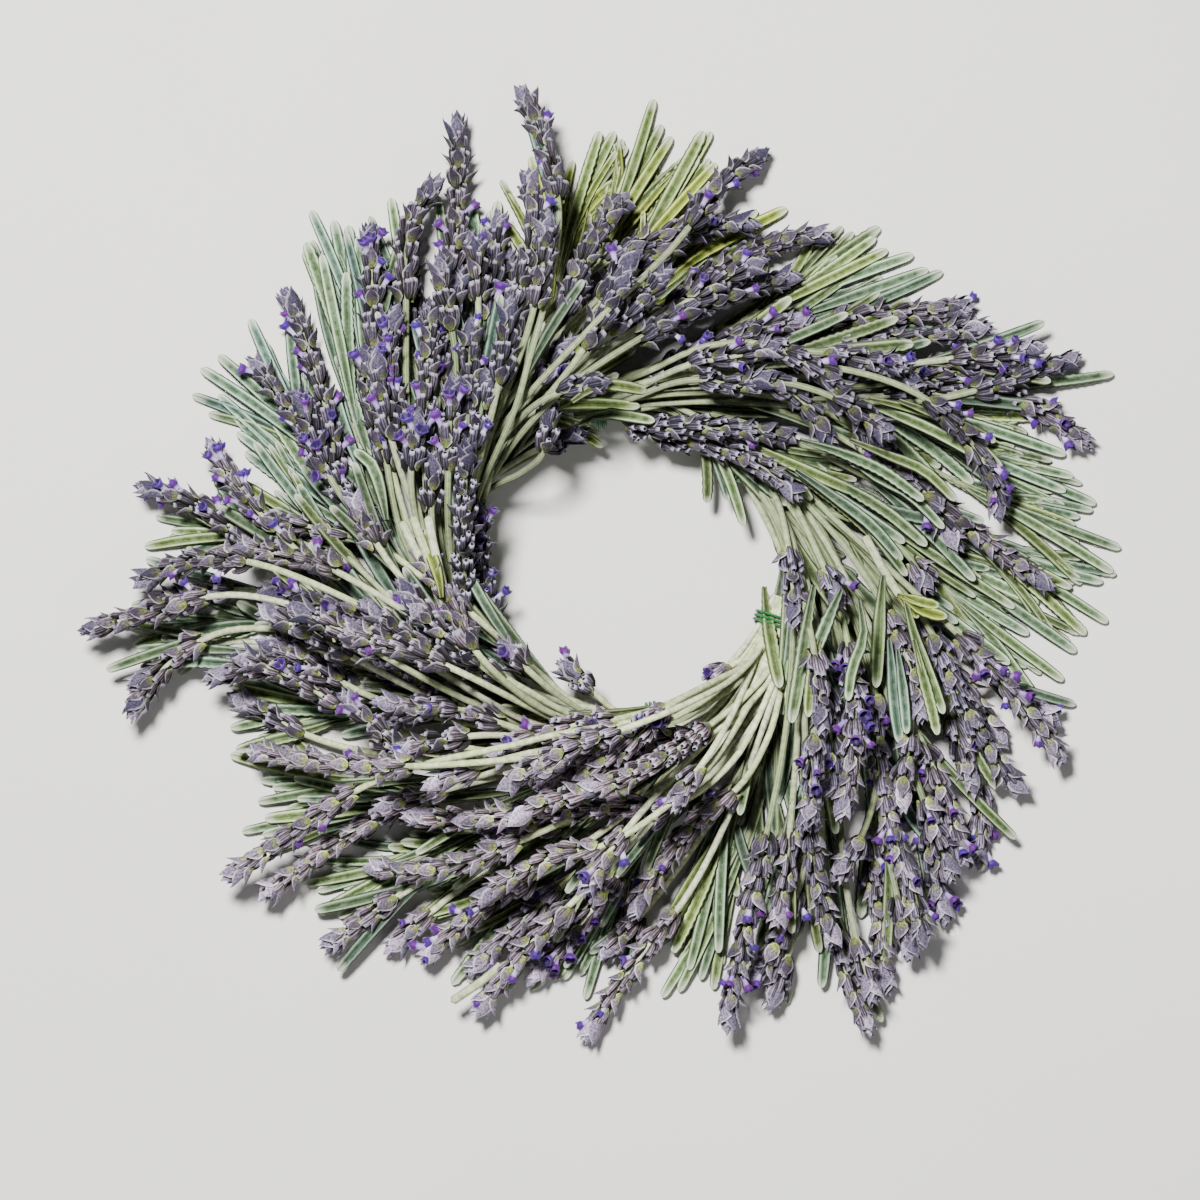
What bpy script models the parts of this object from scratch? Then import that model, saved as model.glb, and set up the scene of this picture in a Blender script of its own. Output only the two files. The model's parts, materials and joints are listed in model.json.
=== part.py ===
"""A fresh lavender wreath, lying on its back.

Six bunches of cut lavender are bound one after the other to a wire ring, each
with its heads over the next bunch's binding. Units are metres, +Z is up.
"""
import math
import random

import bmesh
import bpy
import numpy as np
from mathutils import Vector

# Picture scale: the places of the bunches, heads and leaf tips were picked by
# eye on a 1200 pixel square picture of the wreath, seen straight from the front
PIXEL = 0.000335
RING_CENTRE_PIXEL = (625.0, 565.0)

# Ring and binding wire
RING_RADIUS = 0.057
RING_WIRE = 0.004
RING_SIDES = 8
RING_SEGMENTS = 36
BINDING_WIRE = 0.0009
BINDING_TURNS = 3
BINDING_PITCH = 0.0014
GAP = 0.0003

# Bundle of stems at each binding
LANE_PITCH = 0.0014
LANE_SPREAD = 1.35
BUNDLE_WIDTH = 0.018
BUNDLE_ROUNDING = 0.0024
LAYER_PITCH = 0.0030
TAIL = 0.008
EXIT = 0.006
ROOT_RADIUS = 0.0010

# Stems: radii, the places of their knots, and how far they run straight at
# their start and end, as a share of their length
STEM_RADIUS = 0.0016
SHOOT_RADIUS = 0.0013
STEM_PLACES = (0.25, 0.6, 1.0)
START_PULL = 0.28
END_PULL = 0.30

# Heads: a whorl widens to its rim, and the first and last are narrower
HEAD_RADIUS = 0.0049
HEAD_CORE = 0.0021
WHORL_LENGTH = 0.0142
FEWEST_WHORLS = 2
MOST_WHORLS = 5
WHORL_RIM = 0.68
FIRST_TAPER = 0.88
LAST_TAPER = 0.70

# Leaves: the places of their knots, with their width there as a share
LEAF_HALF_WIDTH = 0.0026
LEAF_WIDTH_RANGE = (0.88, 1.05)
LEAF_THICKNESS = 0.0011
LEAF_LENGTH = (0.044, 0.060)
LEAF_PLACES = (0.36, 0.74, 1.0)
LEAF_TAPER = (0.3, 0.8, 1.0, 0.35)
LEAF_BEND = 0.30
LEAF_ROLL = math.radians(5)
LEAF_RANKS = (-0.2, 0.25)
LEAVES_PER_SHOOT = 4

# Leafy shoots: where their first leaf may grow, counted in knots, and the
# places tried for it, with the reach and the shortest length past the foot
FIRST_LEAF = 2.3
FOOT_PLACES = 24
LEAF_AHEAD = 0.3
LONGEST_LEAF = (1.1, 0.006)
SHOOT_RANKS = (0.1, 0.7)
SHOOT_END = 0.8
SHORTEST_END = 0.004

# Levels of the heads in a layer: how near heads may pass, as a share of their
# radius, and the rank that a level is worth
LEVEL_STEP = 0.004
LEVEL_REACH = 1.2
LEVEL_RANK = 0.1
PLACE_RANK = 0.001

# Settling of the layers on each other: the strands start on slopes, fall and
# straighten for the first phase, straighten less for the second, then only
# make room for each other
SAMPLE_STEP = 0.0022
CLEARANCE = 0.0005
SURFACE_CLEARANCE = 0.0012
BINDING_MARGIN = (0.004, 0.003)
START_SLOPE = 0.30
LEAF_RISE = 0.016
SETTLE_STEPS = 1200
PHASE_ENDS = (720, 900)
STRAIGHTEN = (0.2, 0.02)
FALL = 0.00008
PUSH = 0.6

# Angle of each binding round the ring, in degrees, in the order of the overlap
TIE_ANGLES = {"1": 217.0, "2": 163.0, "3": 100.0, "4": 39.0, "5": -20.0, "6": -79.0}

# Heads of each bunch: picture points from the foot of the head to its tip
HEADS_LOW = {
    "1": [
        [(450, 265), (457, 190), (455, 106)],
        [(372, 345), (370, 290), (365, 217)],
        [(558, 200), (545, 145), (520, 82)],
        [(490, 320), (494, 260), (498, 205)],
    ],
    "2": [
        [(600, 345), (650, 312), (715, 300)],
        [(540, 385), (558, 358), (575, 335)],
        [(590, 330), (597, 297), (600, 265)],
        [(545, 445), (567, 436), (590, 430)],
    ],
    "3": [
        [(1005, 392), (1050, 412), (1097, 447)],
        [(975, 390), (1030, 372), (1088, 353)],
        [(955, 357), (1002, 352), (1050, 345)],
        [(832, 343), (915, 335), (998, 323)],
        [(825, 352), (868, 360), (912, 365)],
        [(832, 318), (905, 310), (980, 303)],
        [(855, 360), (890, 370), (925, 385)],
    ],
    "4": [
        [(1010, 690), (1038, 708), (1065, 728)],
        [(925, 745), (950, 805), (968, 870)],
        [(955, 720), (968, 760), (978, 800)],
        [(985, 790), (984, 830), (978, 873)],
        [(917, 790), (935, 860), (950, 930)],
        [(900, 900), (908, 934), (912, 967)],
        [(875, 822), (880, 900), (893, 1001)],
        [(838, 935), (852, 985), (874, 1042)],
        [(825, 690), (830, 745), (830, 800)],
        [(800, 890), (780, 945), (746, 992)],
        [(790, 830), (785, 880), (775, 930)],
    ],
    "5": [
        [(412, 803), (335, 845), (256, 902)],
        [(395, 900), (358, 925), (320, 955)],
        [(560, 890), (505, 940), (465, 982)],
        [(620, 878), (570, 940), (527, 989)],
        [(640, 920), (618, 944), (598, 965)],
        [(610, 720), (545, 732), (488, 761)],
        [(465, 820), (432, 818), (400, 818)],
        [(560, 825), (520, 834), (480, 845)],
        [(668, 810), (634, 830), (600, 850)],
        [(728, 668), (717, 677), (705, 685)],
    ],
    "6": [
        [(245, 540), (195, 505), (129, 484)],
        [(290, 545), (243, 495), (203, 438)],
        [(350, 535), (308, 526), (267, 520)],
        [(230, 590), (180, 597), (133, 607)],
        [(200, 640), (158, 672), (124, 722)],
        [(190, 650), (155, 668), (122, 692)],
        [(375, 620), (315, 603), (255, 590)],
        [(440, 693), (402, 676), (365, 660)],
        [(470, 612), (455, 601), (440, 590)],
        [(455, 640), (424, 610), (398, 577)],
        [(380, 548), (363, 518), (345, 490)],
    ],
}
HEADS_HIGH = {
    "1": [
        [(405, 300), (410, 225), (443, 172)],
        [(335, 480), (316, 380), (280, 284)],
        [(345, 500), (300, 425), (243, 352)],
        [(402, 425), (388, 365), (397, 303)],
        [(515, 310), (535, 235), (525, 172)],
        [(440, 380), (449, 325), (463, 265)],
        [(468, 420), (470, 370), (472, 320)],
        [(425, 440), (428, 370), (432, 300)],
        [(475, 450), (483, 410), (492, 370)],
        [(465, 600), (466, 520), (470, 440)],
        [(488, 622), (482, 565), (478, 500)],
    ],
    "2": [
        [(690, 225), (722, 182), (770, 145)],
        [(670, 305), (755, 248), (838, 232)],
        [(605, 262), (685, 228), (763, 222)],
        [(562, 318), (590, 250), (625, 192)],
        [(640, 340), (725, 296), (803, 272)],
        [(560, 395), (585, 388), (610, 385)],
    ],
    "3": [
        [(765, 345), (830, 382), (882, 452)],
        [(870, 435), (950, 510), (1060, 590)],
        [(645, 378), (735, 335), (820, 318)],
        [(655, 432), (740, 456), (803, 500)],
        [(630, 425), (715, 428), (797, 437)],
        [(770, 380), (800, 398), (835, 445)],
        [(927, 400), (982, 455), (1003, 520)],
    ],
    "4": [
        [(848, 645), (853, 735), (838, 822)],
        [(877, 695), (885, 790), (913, 886)],
        [(935, 635), (972, 715), (1025, 796)],
        [(888, 612), (910, 665), (925, 725)],
        [(960, 635), (1028, 708), (1068, 766)],
        [(812, 735), (810, 785), (805, 830)],
        [(766, 834), (745, 930), (727, 1036)],
        [(808, 810), (818, 880), (836, 950)],
        [(788, 550), (792, 590), (793, 632)],
        [(825, 570), (834, 590), (842, 610)],
    ],
    "5": [
        [(412, 764), (330, 763), (243, 752)],
        [(356, 791), (295, 832), (220, 883)],
        [(520, 840), (440, 868), (364, 870)],
        [(570, 905), (518, 960), (474, 1021)],
        [(677, 914), (630, 975), (582, 1048)],
        [(737, 790), (680, 842), (630, 922)],
        [(620, 728), (560, 750), (503, 787)],
        [(665, 708), (605, 760), (535, 792)],
        [(706, 727), (650, 762), (577, 792)],
        [(668, 805), (560, 808), (455, 822)],
        [(530, 880), (475, 915), (418, 967)],
        [(600, 845), (540, 862), (475, 903)],
    ],
    "6": [
        [(250, 562), (190, 562), (131, 586)],
        [(342, 573), (290, 556), (235, 548)],
        [(205, 597), (140, 615), (76, 632)],
        [(335, 705), (285, 675), (228, 655)],
        [(350, 655), (305, 630), (258, 610)],
        [(503, 677), (430, 647), (362, 600)],
        [(450, 665), (398, 645), (343, 630)],
        [(503, 723), (445, 707), (387, 722)],
        [(478, 650), (450, 600), (418, 546)],
        [(527, 668), (512, 653), (497, 640)],
        [(592, 691), (576, 677), (560, 662)],
    ],
}

# Leafy shoots of each bunch: the foot of a tuft, then the tips of its leaves
LEAVES_LOW = {
    "1": [
        [(378, 455), (307, 205), (330, 215), (345, 220), (355, 232)],
        [(362, 470), (302, 237), (343, 268), (318, 250)],
        [(350, 500), (245, 315), (285, 307), (213, 352), (195, 365)],
        [(352, 528), (213, 392), (232, 430), (245, 375)],
    ],
    "2": [
        [(578, 296), (655, 92), (663, 118), (673, 130), (640, 140)],
        [(604, 296), (713, 125), (705, 125), (718, 157), (700, 150)],
        [(552, 306), (615, 125), (600, 125), (590, 150), (530, 150)],
        [(640, 305), (790, 203), (760, 205), (710, 175)],
    ],
    "3": [
        [(745, 318), (880, 232), (892, 245), (918, 250)],
        [(750, 336), (933, 265), (840, 250), (900, 290)],
        [(890, 398), (1050, 415), (1053, 445), (1072, 453)],
        [(892, 420), (1080, 475), (1072, 490), (1103, 503)],
        [(885, 445), (1082, 525), (1128, 548), (1097, 555), (1120, 572)],
        [(872, 478), (1110, 582), (1078, 588), (1115, 623), (1093, 635)],
        [(850, 500), (1083, 653), (1045, 603), (1020, 608)],
    ],
    "4": [
        [(868, 556), (1003, 658), (1015, 665), (1045, 668)],
        [(890, 536), (1070, 682), (1035, 635), (1060, 727)],
        [(850, 590), (902, 745), (942, 715), (938, 737), (910, 765)],
        [(825, 760), (848, 975), (835, 930), (828, 857)],
    ],
    "5": [
        [(748, 846), (702, 985), (715, 995), (663, 1003), (680, 997)],
        [(780, 862), (790, 1010), (770, 960)],
        [(500, 826), (300, 888), (313, 895), (313, 918), (335, 922)],
        [(535, 842), (385, 850), (398, 845), (400, 897), (402, 937)],
        [(425, 782), (225, 757), (256, 783), (268, 790), (253, 805)],
        [(434, 806), (260, 822), (237, 835), (258, 838), (290, 780)],
    ],
    "6": [
        [(235, 530), (138, 546), (165, 530)],
        [(250, 620), (128, 646), (155, 640), (150, 665)],
        [(400, 715), (226, 687), (225, 730), (240, 710)],
    ],
}
LEAVES_HIGH = {
    "1": [
        [(430, 470), (388, 192), (398, 233)],
        [(478, 440), (470, 195), (490, 205), (497, 195)],
        [(385, 520), (362, 348), (352, 440), (375, 400)],
    ],
    "2": [
        [(540, 400), (560, 330), (600, 400), (640, 405)],
        [(530, 420), (580, 300), (545, 330)],
    ],
    "3": [
        [(720, 440), (745, 525), (803, 500), (835, 485)],
        [(760, 450), (865, 495), (885, 500), (890, 538), (908, 542)],
    ],
    "4": [
        [(780, 540), (830, 535), (820, 575), (860, 575)],
        [(790, 590), (782, 690), (790, 725), (808, 715), (838, 725)],
        [(840, 600), (875, 688), (908, 730)],
    ],
    "5": [
        [(726, 824), (674, 957), (690, 975), (718, 925), (720, 957)],
        [(640, 850), (563, 985), (530, 995), (585, 1005)],
        [(562, 868), (410, 925), (420, 920), (450, 990)],
    ],
    "6": [
        [(350, 560), (250, 440), (215, 470), (275, 470)],
        [(450, 690), (320, 610), (350, 720), (300, 640)],
    ],
}
ORDER = sorted(TIE_ANGLES)
LAYERS = (
    ("leaves_low", LEAVES_LOW, False),
    ("leaves_high", LEAVES_HIGH, False),
    ("heads_low", HEADS_LOW, True),
    ("heads_high", HEADS_HIGH, True),
)


def to_metres(point):
    """Turn a picture point into metres from the ring's centre."""
    across = (point[0] - RING_CENTRE_PIXEL[0]) * PIXEL
    up = (RING_CENTRE_PIXEL[1] - point[1]) * PIXEL
    return np.array((across, up))


def unit(vector):
    return vector / max(float(np.hypot(*vector)), 1e-9)


def tie_frame(bunch):
    """Centre of a binding, its clockwise direction and its outward direction."""
    angle = math.radians(TIE_ANGLES[bunch])
    outward = np.array((math.cos(angle), math.sin(angle)))
    clockwise = np.array((math.sin(angle), -math.cos(angle)))
    return outward * RING_RADIUS, clockwise, outward


def bezier(start, start_pull, end_pull, end, places):
    """Points of a cubic curve at the places given, from 0 to 1."""
    points = []
    for t in places:
        s = 1.0 - t
        points.append(s ** 3 * start + 3 * s * s * t * start_pull + 3 * s * t * t * end_pull + t ** 3 * end)
    return points


def through_three(foot, middle, tip, count):
    """Points of a parabola through three points, without its first point."""
    points = []
    for step in range(1, count + 1):
        t = step / count
        points.append(
            foot * (1 - t) * (1 - 2 * t) + middle * 4 * t * (1 - t) + tip * t * (2 * t - 1)
        )
    return points


class Strand:
    """A stem, shoot or leaf: knots joined by straight runs."""

    def __init__(self, node, bunch, rank, kind, points, widths, heights, fixed, height):
        self.node = node
        self.bunch = bunch
        self.rank = rank
        self.kind = kind
        self.points = [np.array(point) for point in points]
        self.widths = list(widths)
        self.heights = list(heights)
        self.fixed = fixed
        self.height = height
        self.parent = None
        self.parent_place = 0.0
        self.head_start = 0
        self.roll = 0.0
        self.z = None


def lane_start(bunch, layer, lane, lanes):
    """Tail and exit points of a lane of the bundle at a binding."""
    centre, clockwise, outward = tie_frame(bunch)
    pitch = LANE_PITCH
    width = BUNDLE_WIDTH - (2 * BUNDLE_ROUNDING if layer in (0, len(LAYERS) - 1) else 0.0)
    if lanes > 1:
        pitch = min(LANE_PITCH, (width - 2 * ROOT_RADIUS) / (lanes - 1) / LANE_SPREAD)
    offset = outward * (lane - (lanes - 1) / 2.0) * pitch
    return centre - clockwise * TAIL + offset, centre + clockwise * EXIT + offset * LANE_SPREAD


def bearing(bunch, point):
    """Angle of a point as seen from a binding, larger towards the outside."""
    centre, clockwise, outward = tie_frame(bunch)
    away = point - centre
    return math.atan2(float(away @ outward), float(away @ clockwise))


def stem_points(bunch, layer, lane, lanes, foot, heading):
    """Knots of a stem from its tail to the foot of its head or tuft."""
    tail, leave = lane_start(bunch, layer, lane, lanes)
    clockwise = tie_frame(bunch)[1]
    reach = float(np.hypot(*(foot - leave)))
    start_pull = leave + clockwise * reach * START_PULL
    end_pull = foot - heading * reach * END_PULL
    return [tail, leave] + bezier(leave, start_pull, end_pull, foot, STEM_PLACES)


def head_strand(node, bunch, layer, lane, lanes, picked):
    """A flowering stem, with a knot between its whorls."""
    foot, middle, tip = [to_metres(point) for point in picked]
    heading = unit(middle - foot)
    points = stem_points(bunch, layer, lane, lanes, foot, heading)
    head_start = len(points) - 1
    length = float(np.hypot(*(middle - foot)) + np.hypot(*(tip - middle)))
    whorls = max(FEWEST_WHORLS, min(MOST_WHORLS, round(length / WHORL_LENGTH)))
    points += through_three(foot, middle, tip, whorls)
    widths = [ROOT_RADIUS] * 2 + [STEM_RADIUS] * (head_start - 2)
    widths += [HEAD_RADIUS] * (len(points) - head_start)
    strand = Strand(node, bunch, layer, "head", points, widths, widths, 2, layer)
    strand.head_start = head_start
    return strand


def split_tuft(tuft):
    """Share a tuft's leaf tips out among its shoots."""
    foot = tuft[0]
    tips = tuft[1:]
    shoots = max(1, math.ceil(len(tips) / LEAVES_PER_SHOOT))
    return [(foot, tips[index::shoots]) for index in range(shoots)]


def place_on(points, place):
    """Point at a place along a chain of knots, counted in knots."""
    index = min(int(place), len(points) - 2)
    share = place - index
    return points[index] * (1 - share) + points[index + 1] * share


def leaf_strand(shoot, tip, length, rng):
    """A leaf that leaves its shoot about its own length before its tip."""
    end = len(shoot.points) - 1.001
    places = np.linspace(FIRST_LEAF, end, FOOT_PLACES)
    away = [abs(float(np.hypot(*(place_on(shoot.points, place) - tip))) - length) for place in places]
    place = float(places[int(np.argmin(away))])
    foot = place_on(shoot.points, place)
    along = unit(place_on(shoot.points, min(place + LEAF_AHEAD, end)) - foot)
    reach = float(np.hypot(*(tip - foot)))
    bend = foot + along * reach * LEAF_BEND
    points = [foot]
    for t in LEAF_PLACES:
        points.append(foot * (1 - t) ** 2 + bend * 2 * t * (1 - t) + tip * t * t)
    roll = rng.uniform(-LEAF_ROLL, LEAF_ROLL)
    half = LEAF_HALF_WIDTH * rng.uniform(*LEAF_WIDTH_RANGE)
    flat = LEAF_THICKNESS / 2
    rise = flat + half * abs(math.sin(roll))
    widths = [half * share for share in LEAF_TAPER]
    rank = shoot.rank + rng.uniform(*LEAF_RANKS)
    heights = (rise, rise, rise, flat)
    leaf = Strand(shoot.node, shoot.bunch, rank, "leaf", points, widths, heights, 1, shoot.height)
    leaf.parent = shoot
    leaf.parent_place = place
    leaf.roll = roll
    return leaf


def shoot_strands(node, bunch, layer, lane, lanes, foot_pixel, tips, rng):
    """A leafy shoot: its stem, and a leaf to each picked tip."""
    foot = to_metres(foot_pixel)
    ends = [to_metres(tip) for tip in tips]
    middle = sum(ends) / len(ends)
    heading = unit(middle - foot)
    points = stem_points(bunch, layer, lane, lanes, foot, heading)
    reach = float(np.hypot(*(middle - foot)))
    points.append(foot + heading * max(SHORTEST_END, reach - LEAF_LENGTH[0] * SHOOT_END))
    widths = [ROOT_RADIUS] * 2 + [SHOOT_RADIUS] * (len(points) - 2)
    rank = layer + rng.uniform(*SHOOT_RANKS)
    shoot = Strand(node, bunch, rank, "shoot", points, widths, widths, 2, layer)
    strands = [shoot]
    for index, end in enumerate(ends):
        length = LEAF_LENGTH[0] + (LEAF_LENGTH[1] - LEAF_LENGTH[0]) * (index + 0.5) / len(ends)
        longest = float(np.hypot(*(end - foot))) * LONGEST_LEAF[0] + LONGEST_LEAF[1]
        strands.append(leaf_strand(shoot, end, min(length, longest), rng))
    return strands


def lay_out():
    """All strands of the wreath, in plan, in the order of their nodes."""
    strands = []
    for bunch in ORDER:
        for layer, (name, picked, flowering) in enumerate(LAYERS):
            node = f"bunch_{bunch}_{name}"
            if flowering:
                rows = sorted(picked[bunch], key=lambda row: bearing(bunch, to_metres(row[0])))
                for lane, row in enumerate(rows):
                    strands.append(head_strand(node, bunch, layer, lane, len(rows), row))
            else:
                rng = random.Random(f"lavender {node}")
                rows = [shoot for tuft in picked[bunch] for shoot in split_tuft(tuft)]
                rows.sort(key=lambda row: bearing(bunch, to_metres(row[0])))
                for lane, row in enumerate(rows):
                    strands += shoot_strands(node, bunch, layer, lane, len(rows), row[0], row[1], rng)
    share_levels(strands)
    return strands


def plan_samples(strand):
    """Points every few millimetres along a strand, past its root, in plan."""
    samples = []
    for index in range(2, len(strand.points) - 1):
        one, two = strand.points[index], strand.points[index + 1]
        count = max(1, math.ceil(float(np.hypot(*(two - one))) / LEVEL_STEP))
        samples += [one + (two - one) * step / count for step in range(count)]
    return np.array(samples)


def share_levels(strands):
    """Give the heads of each layer as few levels as keep crossing heads apart."""
    groups = {}
    for strand in strands:
        if strand.kind == "head":
            groups.setdefault(strand.node, []).append(strand)
    for members in groups.values():
        plans = [plan_samples(strand) for strand in members]
        levels = {}
        order = sorted(range(len(members)), key=lambda index: -len(plans[index]))
        for place, index in enumerate(order):
            taken = set()
            for other, level in levels.items():
                away = plans[index][:, None] - plans[other][None]
                if np.hypot(away[..., 0], away[..., 1]).min() < HEAD_RADIUS * LEVEL_REACH:
                    taken.add(level)
            levels[index] = next(level for level in range(len(members)) if level not in taken)
            rank = LEVEL_RANK * levels[index] + PLACE_RANK * place
            members[index].rank = members[index].height + rank


def layer_height(layer):
    """Height of a layer of the bundle where it is bound to the ring."""
    ring_top = BINDING_WIRE + GAP + RING_WIRE
    return ring_top + GAP + STEM_RADIUS + layer * LAYER_PITCH


def binding_top():
    return layer_height(len(LAYERS) - 1) + STEM_RADIUS + GAP + BINDING_WIRE


class Settling:
    """Lets the strands fall on each other, in height alone, in their order."""

    def __init__(self, strands):
        self.strands = strands
        self.first_knot = {}
        self.gather_knots()
        self.gather_samples()
        self.find_pairs()

    def gather_knots(self):
        plan, height, held = [], [], []
        for strand in self.strands:
            self.first_knot[id(strand)] = len(plan)
            run = 0.0
            for index, point in enumerate(strand.points):
                if index:
                    run += float(np.hypot(*(point - strand.points[index - 1])))
                plan.append(point)
                base = layer_height(strand.height)
                if strand.kind == "leaf":
                    height.append(base + LEAF_RISE + START_SLOPE * run)
                    held.append(index == 0)
                else:
                    height.append(base + START_SLOPE * max(0.0, run - TAIL - EXIT))
                    held.append(index < strand.fixed)
        self.plan = np.array(plan)
        self.z = np.array(height)
        self.held = np.array(held)
        self.held_z = self.z.copy()

    def gather_samples(self):
        """Sample every run, with the knots at its ends and the share of each."""
        rows = []
        for number, strand in enumerate(self.strands):
            first = self.first_knot[id(strand)]
            for index in range(len(strand.points) - 1):
                span = float(np.hypot(*(strand.points[index + 1] - strand.points[index])))
                count = max(1, math.ceil(span / SAMPLE_STEP))
                for step in range(count):
                    t = (step + 0.5) / count
                    width = strand.widths[index] * (1 - t) + strand.widths[index + 1] * t
                    tall = strand.heights[index] * (1 - t) + strand.heights[index + 1] * t
                    if strand.kind == "head" and index >= strand.head_start:
                        width = strand.widths[index + 1]
                        tall = strand.heights[index + 1]
                    rows.append((number, first + index, first + index + 1, t, width, tall))
        table = np.array(rows)
        self.strand_of = table[:, 0].astype(int)
        self.low_knot = table[:, 1].astype(int)
        self.high_knot = table[:, 2].astype(int)
        self.share = table[:, 3]
        self.width = table[:, 4]
        self.tall = table[:, 5]
        t = self.share[:, None]
        self.spot = self.plan[self.low_knot] * (1 - t) + self.plan[self.high_knot] * t
        self.floor = self.floor_heights()

    def floor_heights(self):
        """Lowest height of each sample over the surface, the ring and the bindings."""
        floor = np.full(len(self.spot), SURFACE_CLEARANCE) + self.tall
        away = np.abs(np.hypot(self.spot[:, 0], self.spot[:, 1]) - RING_RADIUS)
        over_ring = away < RING_WIRE / 2 + self.width + GAP
        ring_top = BINDING_WIRE + GAP + RING_WIRE
        floor[over_ring] = ring_top + GAP + self.tall[over_ring]
        bunches = np.array([ORDER.index(strand.bunch) for strand in self.strands])[self.strand_of]
        for number, bunch in enumerate(ORDER):
            centre, clockwise, outward = tie_frame(bunch)
            away = self.spot - centre
            along = np.abs(away @ clockwise)
            across = np.abs(away @ outward)
            near = along < BINDING_MARGIN[0] + self.width
            near &= across < BUNDLE_WIDTH / 2 + BINDING_MARGIN[1] + self.width
            near &= bunches != number
            floor[near] = np.maximum(floor[near], binding_top() + CLEARANCE + self.tall[near])
        return floor

    def find_pairs(self):
        """Pairs of samples that lie over each other in plan, upper one first."""
        reach = 2 * HEAD_RADIUS
        cell = np.floor(self.spot / reach).astype(int)
        cells = {}
        for index, key in enumerate(map(tuple, cell)):
            cells.setdefault(key, []).append(index)
        upper, lower, apart = [], [], []
        for (column, row), members in cells.items():
            here = np.array(members)
            near = []
            for across in (-1, 0, 1):
                for up in (-1, 0, 1):
                    near += cells.get((column + across, row + up), [])
            near = np.array(near)
            away = np.hypot(*(self.spot[here][:, None] - self.spot[near][None]).transpose(2, 0, 1))
            room = self.width[here][:, None] + self.width[near][None]
            one, two = np.nonzero(away < room)
            for i, j, ratio in zip(here[one], near[two], (away / room)[one, two]):
                if self.strand_of[i] < self.strand_of[j]:
                    self.add_pair(i, j, ratio, upper, lower, apart)
        self.upper = np.array(upper)
        self.lower = np.array(lower)
        self.apart = np.array(apart)

    def add_pair(self, i, j, ratio, upper, lower, apart):
        one = self.strands[self.strand_of[i]]
        two = self.strands[self.strand_of[j]]
        if one.node == two.node and self.near_root(one, i, two, j):
            return
        order = (ORDER.index(two.bunch) - ORDER.index(one.bunch)) % len(ORDER)
        one_over = order in (1, 2) or (order == 0 and one.rank > two.rank)
        if order == 3:
            return
        distance = (self.tall[i] + self.tall[j]) * math.sqrt(max(0.0, 1 - ratio * ratio))
        if one.node != two.node:
            distance += CLEARANCE
        upper.append(i if one_over else j)
        lower.append(j if one_over else i)
        apart.append(distance)

    def near_root(self, one, i, two, j):
        """True where two strands of a node are meant to meet."""
        if one.parent is two or two.parent is one:
            return True
        run_one = self.low_knot[i] - self.first_knot[id(one)]
        run_two = self.low_knot[j] - self.first_knot[id(two)]
        if one.kind == "leaf" and two.kind == "leaf":
            return one.parent is two.parent and min(run_one, run_two) < 1
        return min(run_one, run_two) < 2 and one.kind != "leaf" and two.kind != "leaf"

    def sample_heights(self):
        return self.z[self.low_knot] * (1 - self.share) + self.z[self.high_knot] * self.share

    def push(self, samples, amount):
        """Move knots so that each sample moves by up to the amount given."""
        near = 1 - self.share[samples]
        far = self.share[samples]
        scale = amount / (near * near + far * far)
        change = np.zeros(len(self.z))
        if amount.size and amount[0] < 0:
            np.minimum.at(change, self.low_knot[samples], scale * near)
            np.minimum.at(change, self.high_knot[samples], scale * far)
        else:
            np.maximum.at(change, self.low_knot[samples], scale * near)
            np.maximum.at(change, self.high_knot[samples], scale * far)
        self.z += change

    def smooth(self, share):
        """Straighten every strand a little, so that it bends like a stem."""
        for strand in self.strands:
            first = self.first_knot[id(strand)]
            last = first + len(strand.points)
            z = self.z[first:last]
            before = self.spans[first:last][1:-1]
            after = self.spans[first:last][2:]
            straight = (z[:-2] * after + z[2:] * before) / (before + after)
            z[1:-1] += share * (straight - z[1:-1])

    def measure_spans(self):
        talls = [tall for strand in self.strands for tall in strand.heights]
        self.lowest = np.array(talls) + SURFACE_CLEARANCE
        steps = np.hypot(*(self.plan[1:] - self.plan[:-1]).T)
        self.spans = np.concatenate(([1.0], steps))

    def hold_roots(self):
        self.z[self.held] = self.held_z[self.held]
        for strand in self.strands:
            if strand.parent is not None:
                first = self.first_knot[id(strand.parent)]
                index = min(int(strand.parent_place), len(strand.parent.points) - 2)
                share = strand.parent_place - index
                near = self.z[first + index]
                far = self.z[first + index + 1]
                self.z[self.first_knot[id(strand)]] = near * (1 - share) + far * share

    def run(self):
        self.measure_spans()
        for step in range(SETTLE_STEPS):
            if step < PHASE_ENDS[0]:
                self.z -= FALL
                self.smooth(STRAIGHTEN[0])
            elif step < PHASE_ENDS[1]:
                self.smooth(STRAIGHTEN[1])
            z = self.sample_heights()
            short = self.apart - (z[self.upper] - z[self.lower])
            hit = short > 0
            self.push(self.upper[hit], short[hit] * PUSH)
            self.push(self.lower[hit], -short[hit] * PUSH)
            z = self.sample_heights()
            low = self.floor - z
            under = np.nonzero(low > 0)[0]
            self.push(under, low[under])
            self.z = np.maximum(self.z, self.lowest)
            self.hold_roots()
        for strand in self.strands:
            first = self.first_knot[id(strand)]
            strand.z = self.z[first : first + len(strand.points)].copy()


def path_of(strand):
    return [Vector((point[0], point[1], height)) for point, height in zip(strand.points, strand.z)]


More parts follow.
